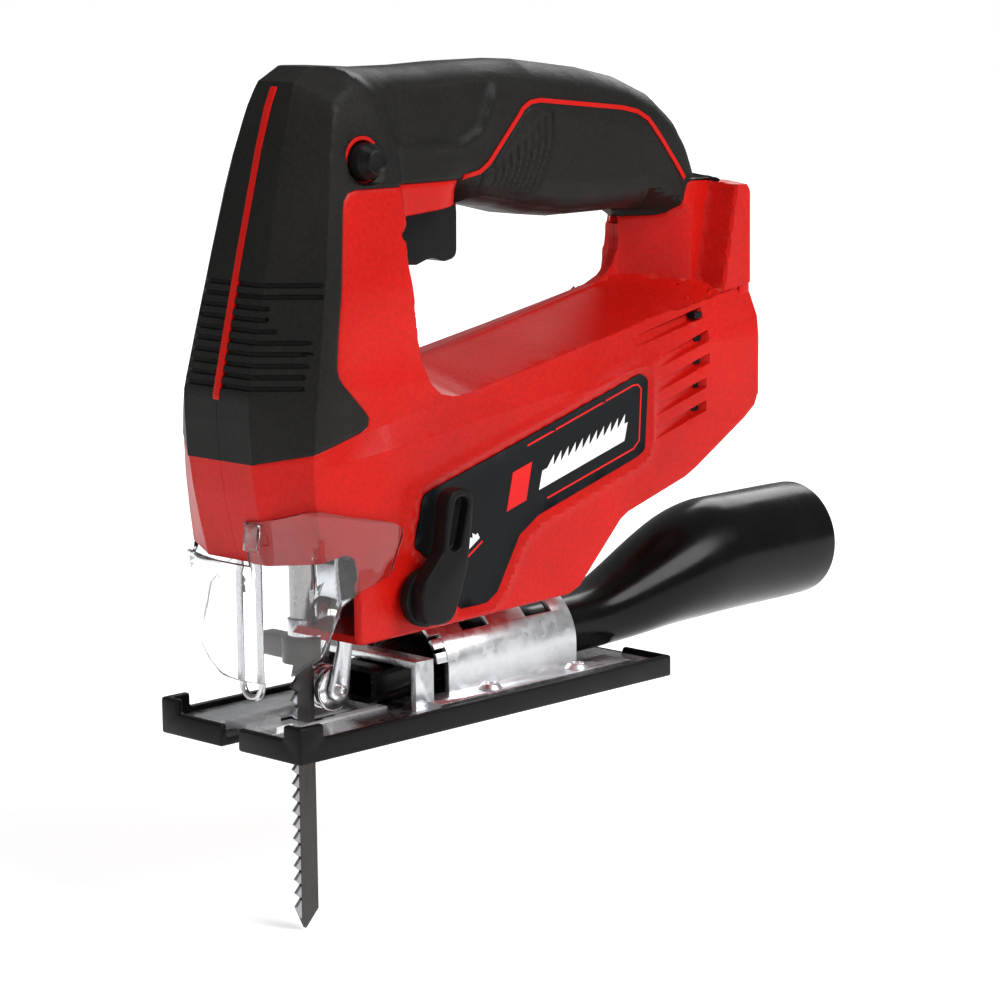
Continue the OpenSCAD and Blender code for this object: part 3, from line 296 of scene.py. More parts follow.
class Value:
    """A shader socket that takes part in arithmetic."""

    def __init__(self, finish, socket):
        self.finish = finish
        self.socket = socket

    def _maths(self, operation, first, second=0.0):
        return self.finish.node("Math", {"operation": operation}, {0: first, 1: second})

    def __add__(self, other):
        return self._maths("ADD", self, other)

    def __sub__(self, other):
        return self._maths("SUBTRACT", self, other)

    def __mul__(self, other):
        return self._maths("MULTIPLY", self, other)

    def __rsub__(self, other):
        return self._maths("SUBTRACT", other, self)

    __radd__ = __add__
    __rmul__ = __mul__

    def step(self, low, high, start=0.0, end=1.0):
        """This value mapped smoothly from low..high to start..end."""
        return self.finish.node("MapRange", {"interpolation_type": "SMOOTHSTEP"},
                                {"Value": self, "From Min": low, "From Max": high,
                                 "To Min": start, "To Max": end})


class Finish:
    """A material being built. Every node comes from node()."""

    def __init__(self, name, **sockets):
        self.material = bpy.data.materials.new(name)
        self.material.use_nodes = True
        self.tree = self.material.node_tree
        self.shader = self.tree.nodes["Principled BSDF"]
        self.place = self.node("TexCoord", output="Object")
        for socket, value in sockets.items():
            self.put(socket.replace("_", " "), value)

    def node(self, kind, settings=None, inputs=None, output=0):
        node = self.tree.nodes.new("ShaderNode" + kind)
        for key, value in (settings or {}).items():
            setattr(node, key, value)
        for key, value in (inputs or {}).items():
            self.join(value, node.inputs[key])
        return Value(self, node.outputs[output])

    def join(self, value, socket):
        if isinstance(value, Value):
            self.tree.links.new(value.socket, socket)
        else:
            socket.default_value = value

    def put(self, socket, value):
        self.join(value, self.shader.inputs[socket])

    def noise(self, size, detail=2.0, stretch=(1, 1, 1), roughness=0.5):
        """Noise whose lumps are about that many millimetres across."""
        place = self.node("Mapping", {}, {"Vector": self.place, "Scale": stretch})
        return self.node("TexNoise", {}, {"Vector": place, "Scale": 0.5 / (size * MM),
                                          "Detail": detail, "Roughness": roughness})

    def cells(self, size):
        """A random shade for each crystal about that many millimetres across."""
        colour = self.node("TexVoronoi", {}, {"Vector": self.place, "Scale": 1 / (size * MM)}, "Color")
        return self.node("SeparateColor", {}, {"Color": colour})

    def along(self, axis):
        """One coordinate, in millimetres."""
        return self.node("SeparateXYZ", {}, {"Vector": self.place}, axis) * (1 / MM)

    def mix(self, amount, first, second):
        return self.node("Mix", {"data_type": "RGBA"}, {0: amount, 6: first, 7: second}, 2)

    def bump(self, value, depth, strength=1.0):
        """A bump of that many millimetres."""
        self.put("Normal", self.node("Bump", {}, {"Strength": strength, "Distance": depth * MM,
                                                  "Height": value}))


def shade(colour, factor):
    """A colour made lighter or darker."""
    return tuple(min(1.0, part * factor) for part in colour[:3]) + (1.0,)


def moulded(name, colour, rough, grain=0.5, depth=0.03, coat=0.0, uneven=0.12):
    """Moulded plastic: fine spark-eroded texture, slight flow marks and handling sheen."""
    finish = Finish(name, IOR=1.5, Coat_Roughness=0.25, Specular_IOR_Level=0.14)
    flow = finish.noise(28, 3)
    speck = finish.noise(grain, 2, roughness=0.6)
    worn = finish.noise(9, 4)
    finish.put("Base Color", finish.mix(flow.step(0.3, 0.7) * 0.6 + speck.step(0.35, 0.7) * 0.4,
                                        shade(colour, 1 - uneven), shade(colour, 1 + uneven)))
    finish.put("Roughness", speck * 0.14 + worn.step(0.35, 0.7, -0.05, 0.05) + (rough - 0.07))
    finish.put("Coat Weight", coat)
    finish.bump(speck * 0.85 + worn * 0.15, depth)
    return finish.material


def sheet_metal(name, colour, rough, crystal=2.2, contrast=0.16, brushed=0.0):
    """Plated or rolled metal: faint crystals, drawing lines and small scratches."""
    finish = Finish(name, Metallic=1.0)
    crystals = finish.cells(crystal)
    lines = finish.noise(0.5, 3, (0.05, 1, 1))
    stains = finish.noise(14, 4)
    tone = crystals * 0.45 + lines * (0.25 + brushed) + stains.step(0.3, 0.7) * 0.3
    finish.put("Base Color", finish.mix(tone, shade(colour, 1 - contrast), shade(colour, 1 + contrast)))
    stained = stains.step(0.3, 0.75, -0.06, 0.08)
    finish.put("Roughness", crystals * 0.1 + lines * 0.12 + stained + (rough - 0.1))
    finish.bump(lines * (0.4 + brushed) + crystals * 0.2, 0.02)
    return finish.material


def blade_metal(colour):
    """Blackened blade steel with a ground band along the teeth and rolled lines along the blade."""
    finish = Finish("ground_blade_steel", Metallic=0.85)
    lines = finish.noise(0.25, 3, (1, 1, 0.03))
    stains = finish.noise(5, 3)
    ground = finish.along("X").step(-50.35, -50.1, 1, 0) * finish.along("Z").step(11, 11.5, 1, 0)
    dark = finish.mix(lines * 0.6 + stains * 0.4, shade(colour, 0.7), shade(colour, 1.4))
    finish.put("Base Color", finish.mix(ground * (0.7 + lines * 0.3), dark, (0.42, 0.43, 0.46, 1)))
    finish.put("Roughness", lines * 0.15 + 0.4 - ground * 0.12)
    finish.bump(lines, 0.02)
    return finish.material


def clear_plastic(name, tint, rough):
    """Clear polycarbonate with faint scuffs."""
    finish = Finish(name, Transmission_Weight=1.0, IOR=1.42)
    scuffs = finish.noise(6, 4, (0.3, 1, 1.6))
    finish.put("Base Color", finish.mix(scuffs.step(0.45, 0.75), tint, shade(tint, 0.96)))
    finish.put("Roughness", scuffs.step(0.5, 0.8, rough, rough + 0.09))
    finish.bump(finish.noise(9, 2), 0.02)
    return finish.material


def thin_clear(name, tint):
    """Clear sheet that shows as a pale haze over what lies below it."""
    finish = Finish(name, IOR=1.45)
    scuffs = finish.noise(4, 4, (0.3, 1, 1))
    finish.put("Base Color", finish.mix(scuffs, tint, shade(tint, 0.85)))
    finish.put("Roughness", scuffs.step(0.4, 0.8, 0.12, 0.3))
    finish.put("Alpha", scuffs.step(0.35, 0.8, 0.3, 0.5))
    finish.bump(scuffs, 0.02)
    return finish.material


def printed(name, colour, rough):
    """Printed film with a fine orange-peel gloss."""
    finish = Finish(name, IOR=1.5, Specular_IOR_Level=0.14)
    peel = finish.noise(0.8, 2)
    wipe = finish.noise(16, 3)
    finish.put("Base Color", finish.mix(wipe.step(0.3, 0.7), shade(colour, 0.85), shade(colour, 1.15)))
    finish.put("Roughness", peel * 0.08 + wipe.step(0.3, 0.7, -0.03, 0.05) + rough)
    finish.bump(peel, 0.01)
    return finish.material


def make_finishes(colours):
    """Every material of the jigsaw by its slot name."""
    black = tuple(colours.plastic_black)
    return {
        "red_plastic": moulded("red_housing_plastic", colours.housing_red, 0.42, 0.55, 0.07, 0.06, 0.2),
        "red_line": moulded("red_inlay_plastic", shade(colours.housing_red, 1.05), 0.45, 0.4, 0.02),
        "black_skin": moulded("soft_grip_rubber", colours.grip_black, 0.5, 0.6, 0.1, 0, 0.35),
        "black_plastic": moulded("black_moulded_plastic", black, 0.46, 0.55, 0.04, 0, 0.2),
        "gloss_black": moulded("polished_black_plastic", shade(black, 0.5), 0.24, 3, 0.01, 0.02, 0.15),
        "label_print": printed("printed_side_film", colours.label_black, 0.3),
        "print_red": printed("printed_red_line", (0.72, 0.012, 0.012, 1), 0.35),
        "print_white": printed("printed_white_mark", (0.85, 0.85, 0.85, 1), 0.35),
        "clear_plastic": clear_plastic("clear_guard_plastic", (0.97, 0.98, 1, 1), 0.04),
        "clear_insert": thin_clear("clear_insert_plastic", (0.8, 0.82, 0.84, 1)),
        "zinc_steel": sheet_metal("zinc_plated_steel", colours.zinc, 0.33),
        "dark_steel": sheet_metal("oiled_dark_steel", (0.16, 0.15, 0.14, 1), 0.34, 1.2, 0.3),
        "worn_steel": sheet_metal("worn_plunger_steel", (0.36, 0.35, 0.34, 1), 0.3, 0.8, 0.15, 0.1),
        "black_steel": sheet_metal("blackened_steel", (0.06, 0.055, 0.05, 1), 0.36, 1.2, 0.3),
        "blade_steel": blade_metal((0.07, 0.064, 0.06, 1)),
        "chrome_steel": sheet_metal("ground_bearing_steel", (0.72, 0.72, 0.73, 1), 0.2, 0.8, 0.08, 0.1),
        "spring_steel": sheet_metal("spring_steel_wire", (0.62, 0.62, 0.63, 1), 0.26, 0.9, 0.1),
        "bronze": sheet_metal("sintered_bronze", (0.55, 0.36, 0.14, 1), 0.42, 0.5, 0.2),
        "copper": sheet_metal("enamelled_copper", (0.72, 0.3, 0.14, 1), 0.32, 0.8, 0.2),
        "contact_brass": sheet_metal("contact_brass", (0.8, 0.6, 0.25, 1), 0.28, 1.5, 0.1),
        "cast_alloy": sheet_metal("cast_alloy", (0.55, 0.56, 0.57, 1), 0.5, 0.7, 0.18),
        "magnet": sheet_metal("ferrite_magnet", (0.1, 0.1, 0.1, 1), 0.6, 0.4, 0.2),
        "carbon": moulded("pressed_carbon", (0.03, 0.03, 0.03, 1), 0.6, 0.3, 0.04),
        "lead_red": moulded("red_wire_cover", (0.5, 0.02, 0.02, 1), 0.4, 0.6, 0.02),
    }


# ---- modelling helpers ----


def start():
    """Object mode with nothing selected."""
    if bpy.context.mode != "OBJECT":
        bpy.ops.object.mode_set(mode="OBJECT")
    bpy.ops.object.select_all(action="DESELECT")


def pick(piece, edit=False):
    """Makes a piece the only selected one, in edit mode if asked."""
    start()
    piece.select_set(True)
    bpy.context.view_layer.objects.active = piece
    if edit:
        bpy.ops.object.mode_set(mode="EDIT")
        bpy.ops.mesh.select_all(action="SELECT")


def placed(piece):
    """Applies a primitive's place, so that the object sits at the origin."""
    bpy.ops.object.transform_apply(location=True, rotation=True, scale=True)
    return piece


def plate(name, outline, level):
    """A flat face at y = level from a side outline."""
    area = sum(a[0] * b[1] - b[0] * a[1] for a, b in zip(outline, outline[1:] + outline[:1]))
    outline = outline if area > 0 else outline[::-1]
    start()
    bpy.ops.mesh.primitive_circle_add(vertices=len(outline), radius=0.01, fill_type="NGON",
                                      rotation=(math.pi / 2, 0, 0))
    piece = placed(bpy.context.object)
    piece.name = name
    for vertex, (x, z) in zip(piece.data.vertices, outline):
        vertex.co = (x * MM, level * MM, z * MM)
    return piece


def outward(piece):
    """Turns all faces of a closed piece outwards."""
    pick(piece, True)
    bpy.ops.mesh.normals_make_consistent(inside=False)
    start()


def prism(name, outline, y0, y1):
    """A side outline thickened from y0 to y1."""
    piece = plate(name, outline, y0)
    pick(piece, True)
    bpy.ops.mesh.extrude_region_move(TRANSFORM_OT_translate={"value": (0, (y1 - y0) * MM, 0)})
    outward(piece)
    return piece


def modify(piece, kind, **settings):
    """Adds a modifier with its settings and applies it."""
    pick(piece)
    bpy.ops.object.modifier_add(type=kind)
    modifier = piece.modifiers[-1]
    for key, value in settings.items():
        setattr(modifier, key, value)
    bpy.ops.object.modifier_apply(modifier=modifier.name)
    return piece


def soften(piece, width, segments=2, angle=32):
    """Rounds the sharp edges."""
    return modify(piece, "BEVEL", width=width * MM, segments=segments, limit_method="ANGLE",
                  angle_limit=math.radians(angle), use_clamp_overlap=True, miter_outer="MITER_ARC")


def carve(piece, tool, solver="EXACT"):
    """Cuts the tool out of the piece and removes the tool."""
    modify(piece, "BOOLEAN", operation="DIFFERENCE", object=tool, solver=solver)
    bpy.data.objects.remove(tool)
    return piece


def turned(name, profile, centre, count=48):
    """A body of revolution about a line along Y. The profile is a list of place and radius."""
    start()
    bpy.ops.mesh.primitive_circle_add(vertices=count, radius=profile[0][1] * MM, fill_type="NGON",
                                      location=(0, 0, profile[0][0] * MM))
    piece = placed(bpy.context.object)
    piece.name = name
    pick(piece, True)
    for (here, radius), (there, next_radius) in zip(profile, profile[1:]):
        bpy.ops.mesh.extrude_region_move(TRANSFORM_OT_translate={"value": (0, 0, (there - here) * MM)})
        if next_radius != radius:
            share = next_radius / radius
            bpy.ops.transform.resize(value=(share, share, 1))
    outward(piece)
    piece.data.transform(Matrix.Translation(Vector(centre) * MM) @ Matrix.Rotation(-math.pi / 2, 4, "X"))
    return piece


def mirrored(piece, name):
    """A copy on the other side of the middle plane, with its own mesh."""
    twin = piece.copy()
    twin.data = piece.data.copy()
    twin.name = name
    bpy.context.collection.objects.link(twin)
    twin.data.transform(Matrix.Scale(-1, 4, (0, 1, 0)))
    twin.data.flip_normals()
    return twin


def done(piece, body, finish, stands_for=(), smooth=34):
    """Shades, paints and mounts a finished piece."""
    pick(piece)
    bpy.ops.object.shade_smooth_by_angle(angle=math.radians(smooth))
    if not piece.data.materials:
        piece.data.materials.append(FINISHES[finish])
    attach(piece, body)
    if stands_for:
        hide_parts(*stands_for)
    return piece


def coordinates(piece):
    """The vertices of a piece in millimetres, one row each."""
    values = np.zeros(len(piece.data.vertices) * 3)
    piece.data.vertices.foreach_get("co", values)
    return values.reshape(-1, 3) / MM


def move_to(piece, points):
    """Moves the vertices of a piece to those places in millimetres."""
    piece.data.vertices.foreach_set("co", (points * MM).ravel())


def pairs(line):
    """The stretches of an open line, each as its two ends."""
    return list(zip(line, line[1:]))


def near(x, z, lines, gap=0.02):
    """True for points that lie on one of the lines."""
    return np.min([distance(x, z, line) for line in lines] or [x * 0 + 1e9], axis=0) < gap


def close_to_seam(piece, on_seam):
    """Walls from the open edges whose vertices are marked to the middle seam."""
    pick(piece, True)
    bpy.ops.mesh.select_mode(type="EDGE")
    bpy.ops.mesh.select_all(action="DESELECT")
    bpy.ops.mesh.select_non_manifold(extend=False, use_wire=False, use_boundary=True,
                                     use_multi_face=False, use_non_contiguous=False, use_verts=False)
    start()
    mesh = piece.data
    for line in mesh.edges:
        line.select = line.select and all(on_seam[v] for v in line.vertices)
    for face in mesh.polygons:
        face.select = False
    marked = {v for line in mesh.edges if line.select for v in line.vertices}
    for vertex in mesh.vertices:
        vertex.select = vertex.index in marked
    if marked:
        bpy.context.view_layer.objects.active = piece
        bpy.ops.object.mode_set(mode="EDIT")
        bpy.ops.mesh.extrude_edges_move(TRANSFORM_OT_translate={"value": (0, 0, 0)})
        start()
        for vertex in mesh.vertices:
            if vertex.select:
                vertex.co.y = -SEAM_GAP * MM


def cover(name, outline, seams, width_at, cuts, thickness, insets=(0.35, 0.55, 0.8), lift=0.0, flush=0.0,
          creases=()):
    """One half of a moulded cover: the outer surface inside an outline, closed to the middle seam along
    the lines in seams, then given its wall. cuts holds the x and z values where the surface is divided,
    creases the slanting lines that it is also divided along, and flush how far its rim dips.
    """
    piece = plate(name, outline, 0)
    pick(piece, True)
    for step in insets:
        bpy.ops.mesh.inset(thickness=step * MM, depth=0, use_even_offset=True)
    for direction, values in zip(((1, 0, 0), (0, 0, 1)), cuts):
        for value in values:
            bpy.ops.mesh.select_all(action="SELECT")
            place = tuple(part * value * MM for part in direction)
            bpy.ops.mesh.bisect(plane_co=place, plane_no=direction)
    for (ax, az), (bx, bz) in creases:
        bpy.ops.mesh.select_all(action="SELECT")
        normal = Vector((az - bz, 0, bx - ax)).normalized()
        bpy.ops.mesh.bisect(plane_co=(ax * MM, 0, az * MM), plane_no=normal)
    bpy.ops.mesh.select_all(action="SELECT")
    bpy.ops.mesh.remove_doubles(threshold=WELD)
    start()
    points = coordinates(piece)
    x, z = points[:, 0], points[:, 2]
    edge = distance(x, z, outline + outline[:1])
    dip = flush * np.interp(edge, [0, 0.35, 0.9], [1, 0.35, 0]) * ~near(x, z, seams, 0.5)
    points[:, 1] = -(width_at(x, z) + lift - dip)
    move_to(piece, points)
    close_to_seam(piece, near(x, z, seams))
    modify(piece, "SOLIDIFY", thickness=thickness * MM, offset=-1, use_rim=True, use_even_offset=False)
    return piece


def laid(name, outline, lift, thickness, width_at, step=2.4):
    """A thin layer on the housing's surface: an inlay, a film or a printed mark."""
    xs = [p[0] for p in outline]
    zs = [p[1] for p in outline]
    cuts = [np.arange(min(values) + FIRST_CUT, max(values), step) for values in (xs, zs)]
    return cover(name, outline, [], width_at, cuts, thickness, (), lift)


def both_sides(piece, name, body, finish, nodes="", smooth=34):
    """Mounts a piece on the right and its copy on the left. nodes is the name, without its side, of the
    two CAD nodes that they stand for."""
    twin = mirrored(piece, name.format("left"))
    piece.name = name.format("right")
    for half, side in ((piece, "right"), (twin, "left")):
        done(half, body, finish, (f"{nodes}_{side}",) if nodes else (), smooth)


def from_frame(node, name, bevel):
    """A copy of a CAD node with merged faces and rounded edges."""
    piece = bpy.data.objects.new(name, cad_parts[node].data.copy())
    piece.data.materials.clear()
    bpy.context.collection.objects.link(piece)
    pick(piece, True)
    bpy.ops.mesh.remove_doubles(threshold=FRAME_WELD)
    bpy.ops.mesh.dissolve_limited(angle_limit=math.radians(1))
    start()
    return soften(piece, bevel)


def spread(low, high, step):
    """Evenly spaced values between two limits."""
    return np.linspace(low, high, max(2, round((high - low) / step) + 1))[1:-1]


# ---- surfaces and tables of the pieces ----


def surface(x, z):
    """The outer surface of the red shells."""
    return details(x, z, body_width(x, z))


def skin_surface(x, z):
    """The surface of the skins, which stand proud of the red."""
    return surface(x, z) + PROUD


def nose_corner():
    """The lines where the nose's facets meet the sides."""
    return pairs([(x + 1.03 * float(np.interp(z, *NOSE_DEPTHS)), z) for x, z in NOSE[2:]])


def groove_nose(piece):
    """Presses the ribs' grooves into the nose of the skin."""
    points = coordinates(piece)
    x, y, z = points.T
    front = np.interp(z, [p[1] for p in NOSE[::-1]], [p[0] for p in NOSE[::-1]])
    for k, reach in enumerate(RIB_REACH):
        centre = RIB_TOP - RIB_PITCH * k
        cut = np.interp(np.abs(z - centre), [0, RIB_FLOOR, RIB_HALF], [1, 1, 0])
        cut = cut * (np.abs(y) < reach) * (x - front < RIB_BACK)
        points[:, 0] += RIB_DEPTH * cut
        points[:, 1] -= np.sign(y) * RIB_SIDE_DEPTH * cut * (np.abs(y) > RIB_FRONT_HALF)
    move_to(piece, points)


FINISHES = {}
CAD_FINISHES = {
    "black_plastic": ("switch_module", "terminal_block", "motor_end_bell", "plunger_seal", "cooling_fan"),
    "zinc_steel": ("housing_screws", "tilt_screws", "motor_can", "gear_clip"),
    "magnet": ("motor_magnets", "gear_frame"),
    "dark_steel": ("armature_core", "gear_pin", "fork_pin", "counterweight", "crank_pin"),
    "chrome_steel": ("front_bearing", "rear_bearing", "armature_shaft", "main_gear", "pinion",
                     "crank_roller"),
    "spring_steel": ("wire_guard", "collar_spring", "trigger_spring", "button_spring"),
    "bronze": ("plunger_bushings",),
    "copper": ("commutator",),
    "contact_brass": ("battery_contacts",),
    "cast_alloy": ("upper_guide",),
    "carbon": ("carbon_brushes",),
    "lead_red": ("power_leads",),
}
# CAD nodes that are redrawn from a merged copy: body, finish, edge radius in millimetres
REDRAWN = {
    "base_shoe": ("base", "black_plastic", 0.8), "base_plate": ("base", "zinc_steel", 0.5),
    "splinter_insert": ("base", "clear_insert", 0.25), "tilt_bracket": ("base", "zinc_steel", 0.35),
    "bracket_screws": ("base", "zinc_steel", 0.25), "pendulum_fork": ("fork", "zinc_steel", 0.3),
    "roller_pin": ("fork", "chrome_steel", 0.3), "guide_roller": ("guide_roller", "chrome_steel", 0.5),
    "clamp_collar": ("clamp_collar", "black_steel", 0.5), "blade_holder": ("plunger", "chrome_steel", 0.4),
    "plunger": ("plunger", "worn_steel", 0.3), "saw_blade": ("plunger", "blade_steel", 0.12),
}
# the clear guard: foot of its sides and top along x, foot of its front across the tool
GUARD_SIDE_FOOT = ([-64.7, -62.5, -59.3, -56.5, -39.5, -36.5], [27.4, 31, 39, 43.5, 49, 59.4])
GUARD_FRONT_FOOT = ([0, 12, 20.5, 26.4], [18.3, 18.9, 22, 26.4])
GUARD_TOP = ([-71.3, -65.8, -59, -38, -36.5], [64.6, 68.9, 67, 62.2, 60.6])
# height of the red nose's foot, half width at which the guard's sides start, its top across the front
NOSE_FOOT, GUARD_FRONT_HALF, GUARD_FRONT_TOP = 52.6, 26.5, 51.8
# screw wells on the left: places, radius of bore and of wall, and how near a shell is drilled
WELLS = [(-60, 122), (-45, 173), (22, 93.5), (64, 64), (90, 84), (70, 157)]
WELL_BORE, WELL_WALL, WELL_NEAR = 3.4, 4.3, 8
# the dust duct's sections
DUCT = [
    # x, middle z, half height, half width, squareness
    (-28, 11, 5.4, 9, 6), (-14.5, 11, 5.4, 9, 6), (-13.6, 14.3, 8.6, 10, 2.5), (57, 14.3, 8.6, 10, 2.5),
    (66, 14.8, 9, 10.4, 2.5), (74, 16, 9.8, 11.4, 2.5), (82, 17.8, 11.2, 12.8, 2.5),
    (90, 20, 13, 14.4, 2.3), (98, 22.3, 14.8, 16, 2.1), (106, 24.3, 16.6, 17.3, 2),
    (114, 25.7, 17.9, 18.2, 2), (122, 26.4, 18.4, 18.4, 2), (124, 26.5, 18.4, 18.4, 2),
    (165.4, 26.5, 18.4, 18.4, 2), (166, 26.5, 18.1, 18.1, 2),
]
# the studio: camera angles in degrees, its distance and aim in metres, its lens in millimetres
VIEW_TURN, VIEW_RISE, VIEW_ROLL = 45.135, 9.821, -0.647
VIEW_DISTANCE, VIEW_AIM = 1.00525, (0.03203, 0, 0.056)
LENS, SENSOR = 122.49, 36
FLOOR_GAP, FLOOR_GLOW, SKY_STRENGTH = 0.0006, 0.5, 0.27
WHITE = (1, 1, 1, 1)
# lamps: kind, place, target, size in metres or radians, power
LAMPS = {
    "key_light": ("SUN", (0.25, -1.0, 0.95), (0, 0, 0.08), math.radians(34), 2.4),
    "front_light": ("AREA", (-1.2, -0.5, 0.55), (-0.02, 0, 0.09), 0.35, 0.9),
    "top_light": ("AREA", (-0.1, 0.15, 1.3), (0, 0, 0.1), 0.5, 2.8),
    "rear_light": ("AREA", (1.0, 0.5, 0.7), (0.05, 0, 0.08), 0.5, 3.5),
}


# ---- sizes and colours that a user would change ----


def colour(name, description, default):
    """A colour that the sidebar shows."""
    return bpy.props.FloatVectorProperty(name=name, description=description, default=default,
                                         subtype="COLOR", size=4, min=0, max=1)


def wall(name, description, default, low, high):
    """A wall thickness that the sidebar shows."""
    return bpy.props.FloatProperty(name=name, description=description, default=default,
                                   min=low, max=high, unit="LENGTH")


class JigsawColours(bpy.types.PropertyGroup):
    """The colours that a user would change."""

    housing_red: colour("Housing", "Colour of the housing shells", (0.51, 0.006, 0.003, 1))
    grip_black: colour("Grip", "Colour of the soft grip skins", (0.0105, 0.0098, 0.009, 1))
    plastic_black: colour("Plastic", "Colour of shoe, lever, trigger and dust tube",
                          (0.0055, 0.0055, 0.0055, 1))
    label_black: colour("Side film", "Colour of the printed side films", (0.001, 0.002, 0.0035, 1))
    zinc: colour("Zinc", "Colour of the plated steel", (0.72, 0.74, 0.76, 1))


class JigsawSizes(bpy.types.PropertyGroup):
    """The wall thicknesses that a user would change."""

    shell_wall: wall("Shell wall", "Wall of the housing shells", 0.0022, 0.001, 0.004)
    skin_wall: wall("Skin wall", "Thickness of the grip skins", 0.0018, 0.001, 0.003)
    guard_wall: wall("Guard wall", "Thickness of the clear guard", 0.0013, 0.0006, 0.003)
    tube_wall: wall("Tube wall", "Wall of the dust tube", 0.0018, 0.001, 0.004)


# ---- the pieces ----


class JIGSAW_OT_studio(bpy.types.Operator):
    """Plain pale floor and backdrop, soft lights and the camera."""

    bl_idname = "jigsaw.studio"
    bl_label = "Studio"

    def execute(self, context):
        start()
        bpy.ops.mesh.primitive_plane_add(size=8, location=(0, 0, CAD_LOW.z - FLOOR_GAP))
        floor = placed(bpy.context.object)
        floor.name = "floor"
        finish = Finish("pale_studio_floor", Specular_IOR_Level=0.1, Emission_Color=WHITE,
                        Emission_Strength=FLOOR_GLOW)
        shade_of = finish.noise(120, 2)
        finish.put("Base Color", finish.mix(shade_of, (0.93, 0.93, 0.93, 1), (0.95, 0.95, 0.95, 1)))
        finish.put("Roughness", shade_of * 0.1 + 0.75)
        floor.data.materials.append(finish.material)
        world = bpy.data.worlds.new("studio")
        world.use_nodes = True
        tree = world.node_tree
        tree.nodes["Background"].inputs["Color"].default_value = WHITE
        tree.nodes["Background"].inputs["Strength"].default_value = SKY_STRENGTH
        backdrop = tree.nodes.new("ShaderNodeBackground")
        backdrop.inputs["Color"].default_value = WHITE
        seen = tree.nodes.new("ShaderNodeLightPath")
        blend = tree.nodes.new("ShaderNodeMixShader")
        tree.links.new(seen.outputs["Is Camera Ray"], blend.inputs[0])
        tree.links.new(tree.nodes["Background"].outputs[0], blend.inputs[1])
        tree.links.new(backdrop.outputs[0], blend.inputs[2])
        tree.links.new(blend.outputs[0], tree.nodes["World Output"].inputs[0])
        context.scene.world = world
        for name, (kind, place, target, size, power) in LAMPS.items():
            lamp = bpy.data.lights.new(name, kind)
            if kind == "SUN":
                lamp.angle = size
            else:
                lamp.size = size
            lamp.energy = power
            lamp_object = bpy.data.objects.new(name, lamp)
            lamp_object.location = place
            lamp_object.rotation_euler = (Vector(place) - Vector(target)).to_track_quat("Z", "Y").to_euler()
            bpy.context.collection.objects.link(lamp_object)
        turn, rise, roll = (math.radians(angle) for angle in (VIEW_TURN, VIEW_RISE, VIEW_ROLL))
        back = Vector((-math.sin(turn) * math.cos(rise), -math.cos(turn) * math.cos(rise), math.sin(rise)))
        right = Vector((0, 0, 1)).cross(back).normalized()
        up = back.cross(right)
        across = math.cos(roll) * right + math.sin(roll) * up
        upward = math.cos(roll) * up - math.sin(roll) * right
        view = Matrix((across, upward, back)).transposed().to_4x4()
        view.translation = Vector(VIEW_AIM) + back * VIEW_DISTANCE
        lens = bpy.data.cameras.new("camera")
        lens.lens = LENS
        lens.sensor_width = SENSOR
        lens.clip_start = 0.05
        lens.clip_end = 50
        camera = bpy.data.objects.new("camera", lens)
        camera.matrix_world = view
        bpy.context.collection.objects.link(camera)
        context.scene.camera = camera
        context.scene.view_settings.view_transform = "Standard"
        return {"FINISHED"}


class JIGSAW_OT_frame_finishes(bpy.types.Operator):
    """Gives every CAD node that still shows its own finish."""

    bl_idname = "jigsaw.frame_finishes"
    bl_label = "Frame Finishes"

    def execute(self, context):
        FINISHES.update(make_finishes(context.scene.jigsaw_colours))
        for finish, nodes in CAD_FINISHES.items():
            for node in nodes:
                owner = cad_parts[node]
                owner.data.materials.clear()
                owner.data.materials.append(FINISHES[finish])
        return {"FINISHED"}


class JIGSAW_OT_housing_shells(bpy.types.Operator):
    """The red shells: motor barrel, front column, rear column and nose."""

    bl_idname = "jigsaw.housing_shells"
    bl_label = "Housing Shells"

    def execute(self, context):
        sizes = context.scene.jigsaw_sizes
        outline = (BELLY + [(115.2, 144.4)] + SHOULDER[::-1][1:] + COLUMN_LINE[::-1][1:]
                   + HOLE_REST + [(4.1, 148.5)] + COLOUR_LINE[::-1][1:] + NOSE[9:] + THROAT[1:-1])
        cuts = (spread(-76, 115, GRID), spread(29, 146, GRID))
        seams = [NOSE, HOLE_REST, BELLY[2:9], SHOULDER]
        creases = pairs(LEDGE) + pairs(STRIPE) + pairs(OPENING_EDGE) + nose_corner()
        creases += [((FLARE[0] + k, FLARE_Z[0]), (FLARE[1] + k, FLARE_Z[1]))
                    for k in (0, 0.9, 1.8, 2.7, 3.6)]
        for (ax, az), (bx, bz) in VENTS:
            creases += [((bx, bz + off), (ax, az + off))
                        for off in (-VENT_HALF, VENT_SIDE - VENT_HALF, VENT_HALF - VENT_SIDE, VENT_HALF)]
        piece = cover("housing_shell_right", outline, seams, surface, cuts, sizes.shell_wall / MM,
                      flush=0.35, creases=creases)
        both_sides(piece, "housing_shell_{}", "housing", "red_plastic",
                   nodes="housing", smooth=19)
        liner = soften(prism("gear_case_liner", box(-26, 31, -24, 50), -26, 20), 0.4)
        done(liner, "housing", "black_plastic")
        # the left side is open in front of the gear case
        left = bpy.data.objects["housing_shell_left"]
        pick(left, True)
        bpy.ops.mesh.select_all(action="DESELECT")
        start()
        for face in left.data.polygons:
            face.select = face.center.x < -23.5 * MM and face.center.z < 52.5 * MM
        pick(left)
        bpy.ops.object.mode_set(mode="EDIT")
        bpy.ops.mesh.delete(type="FACE")
        start()
        return {"FINISHED"}


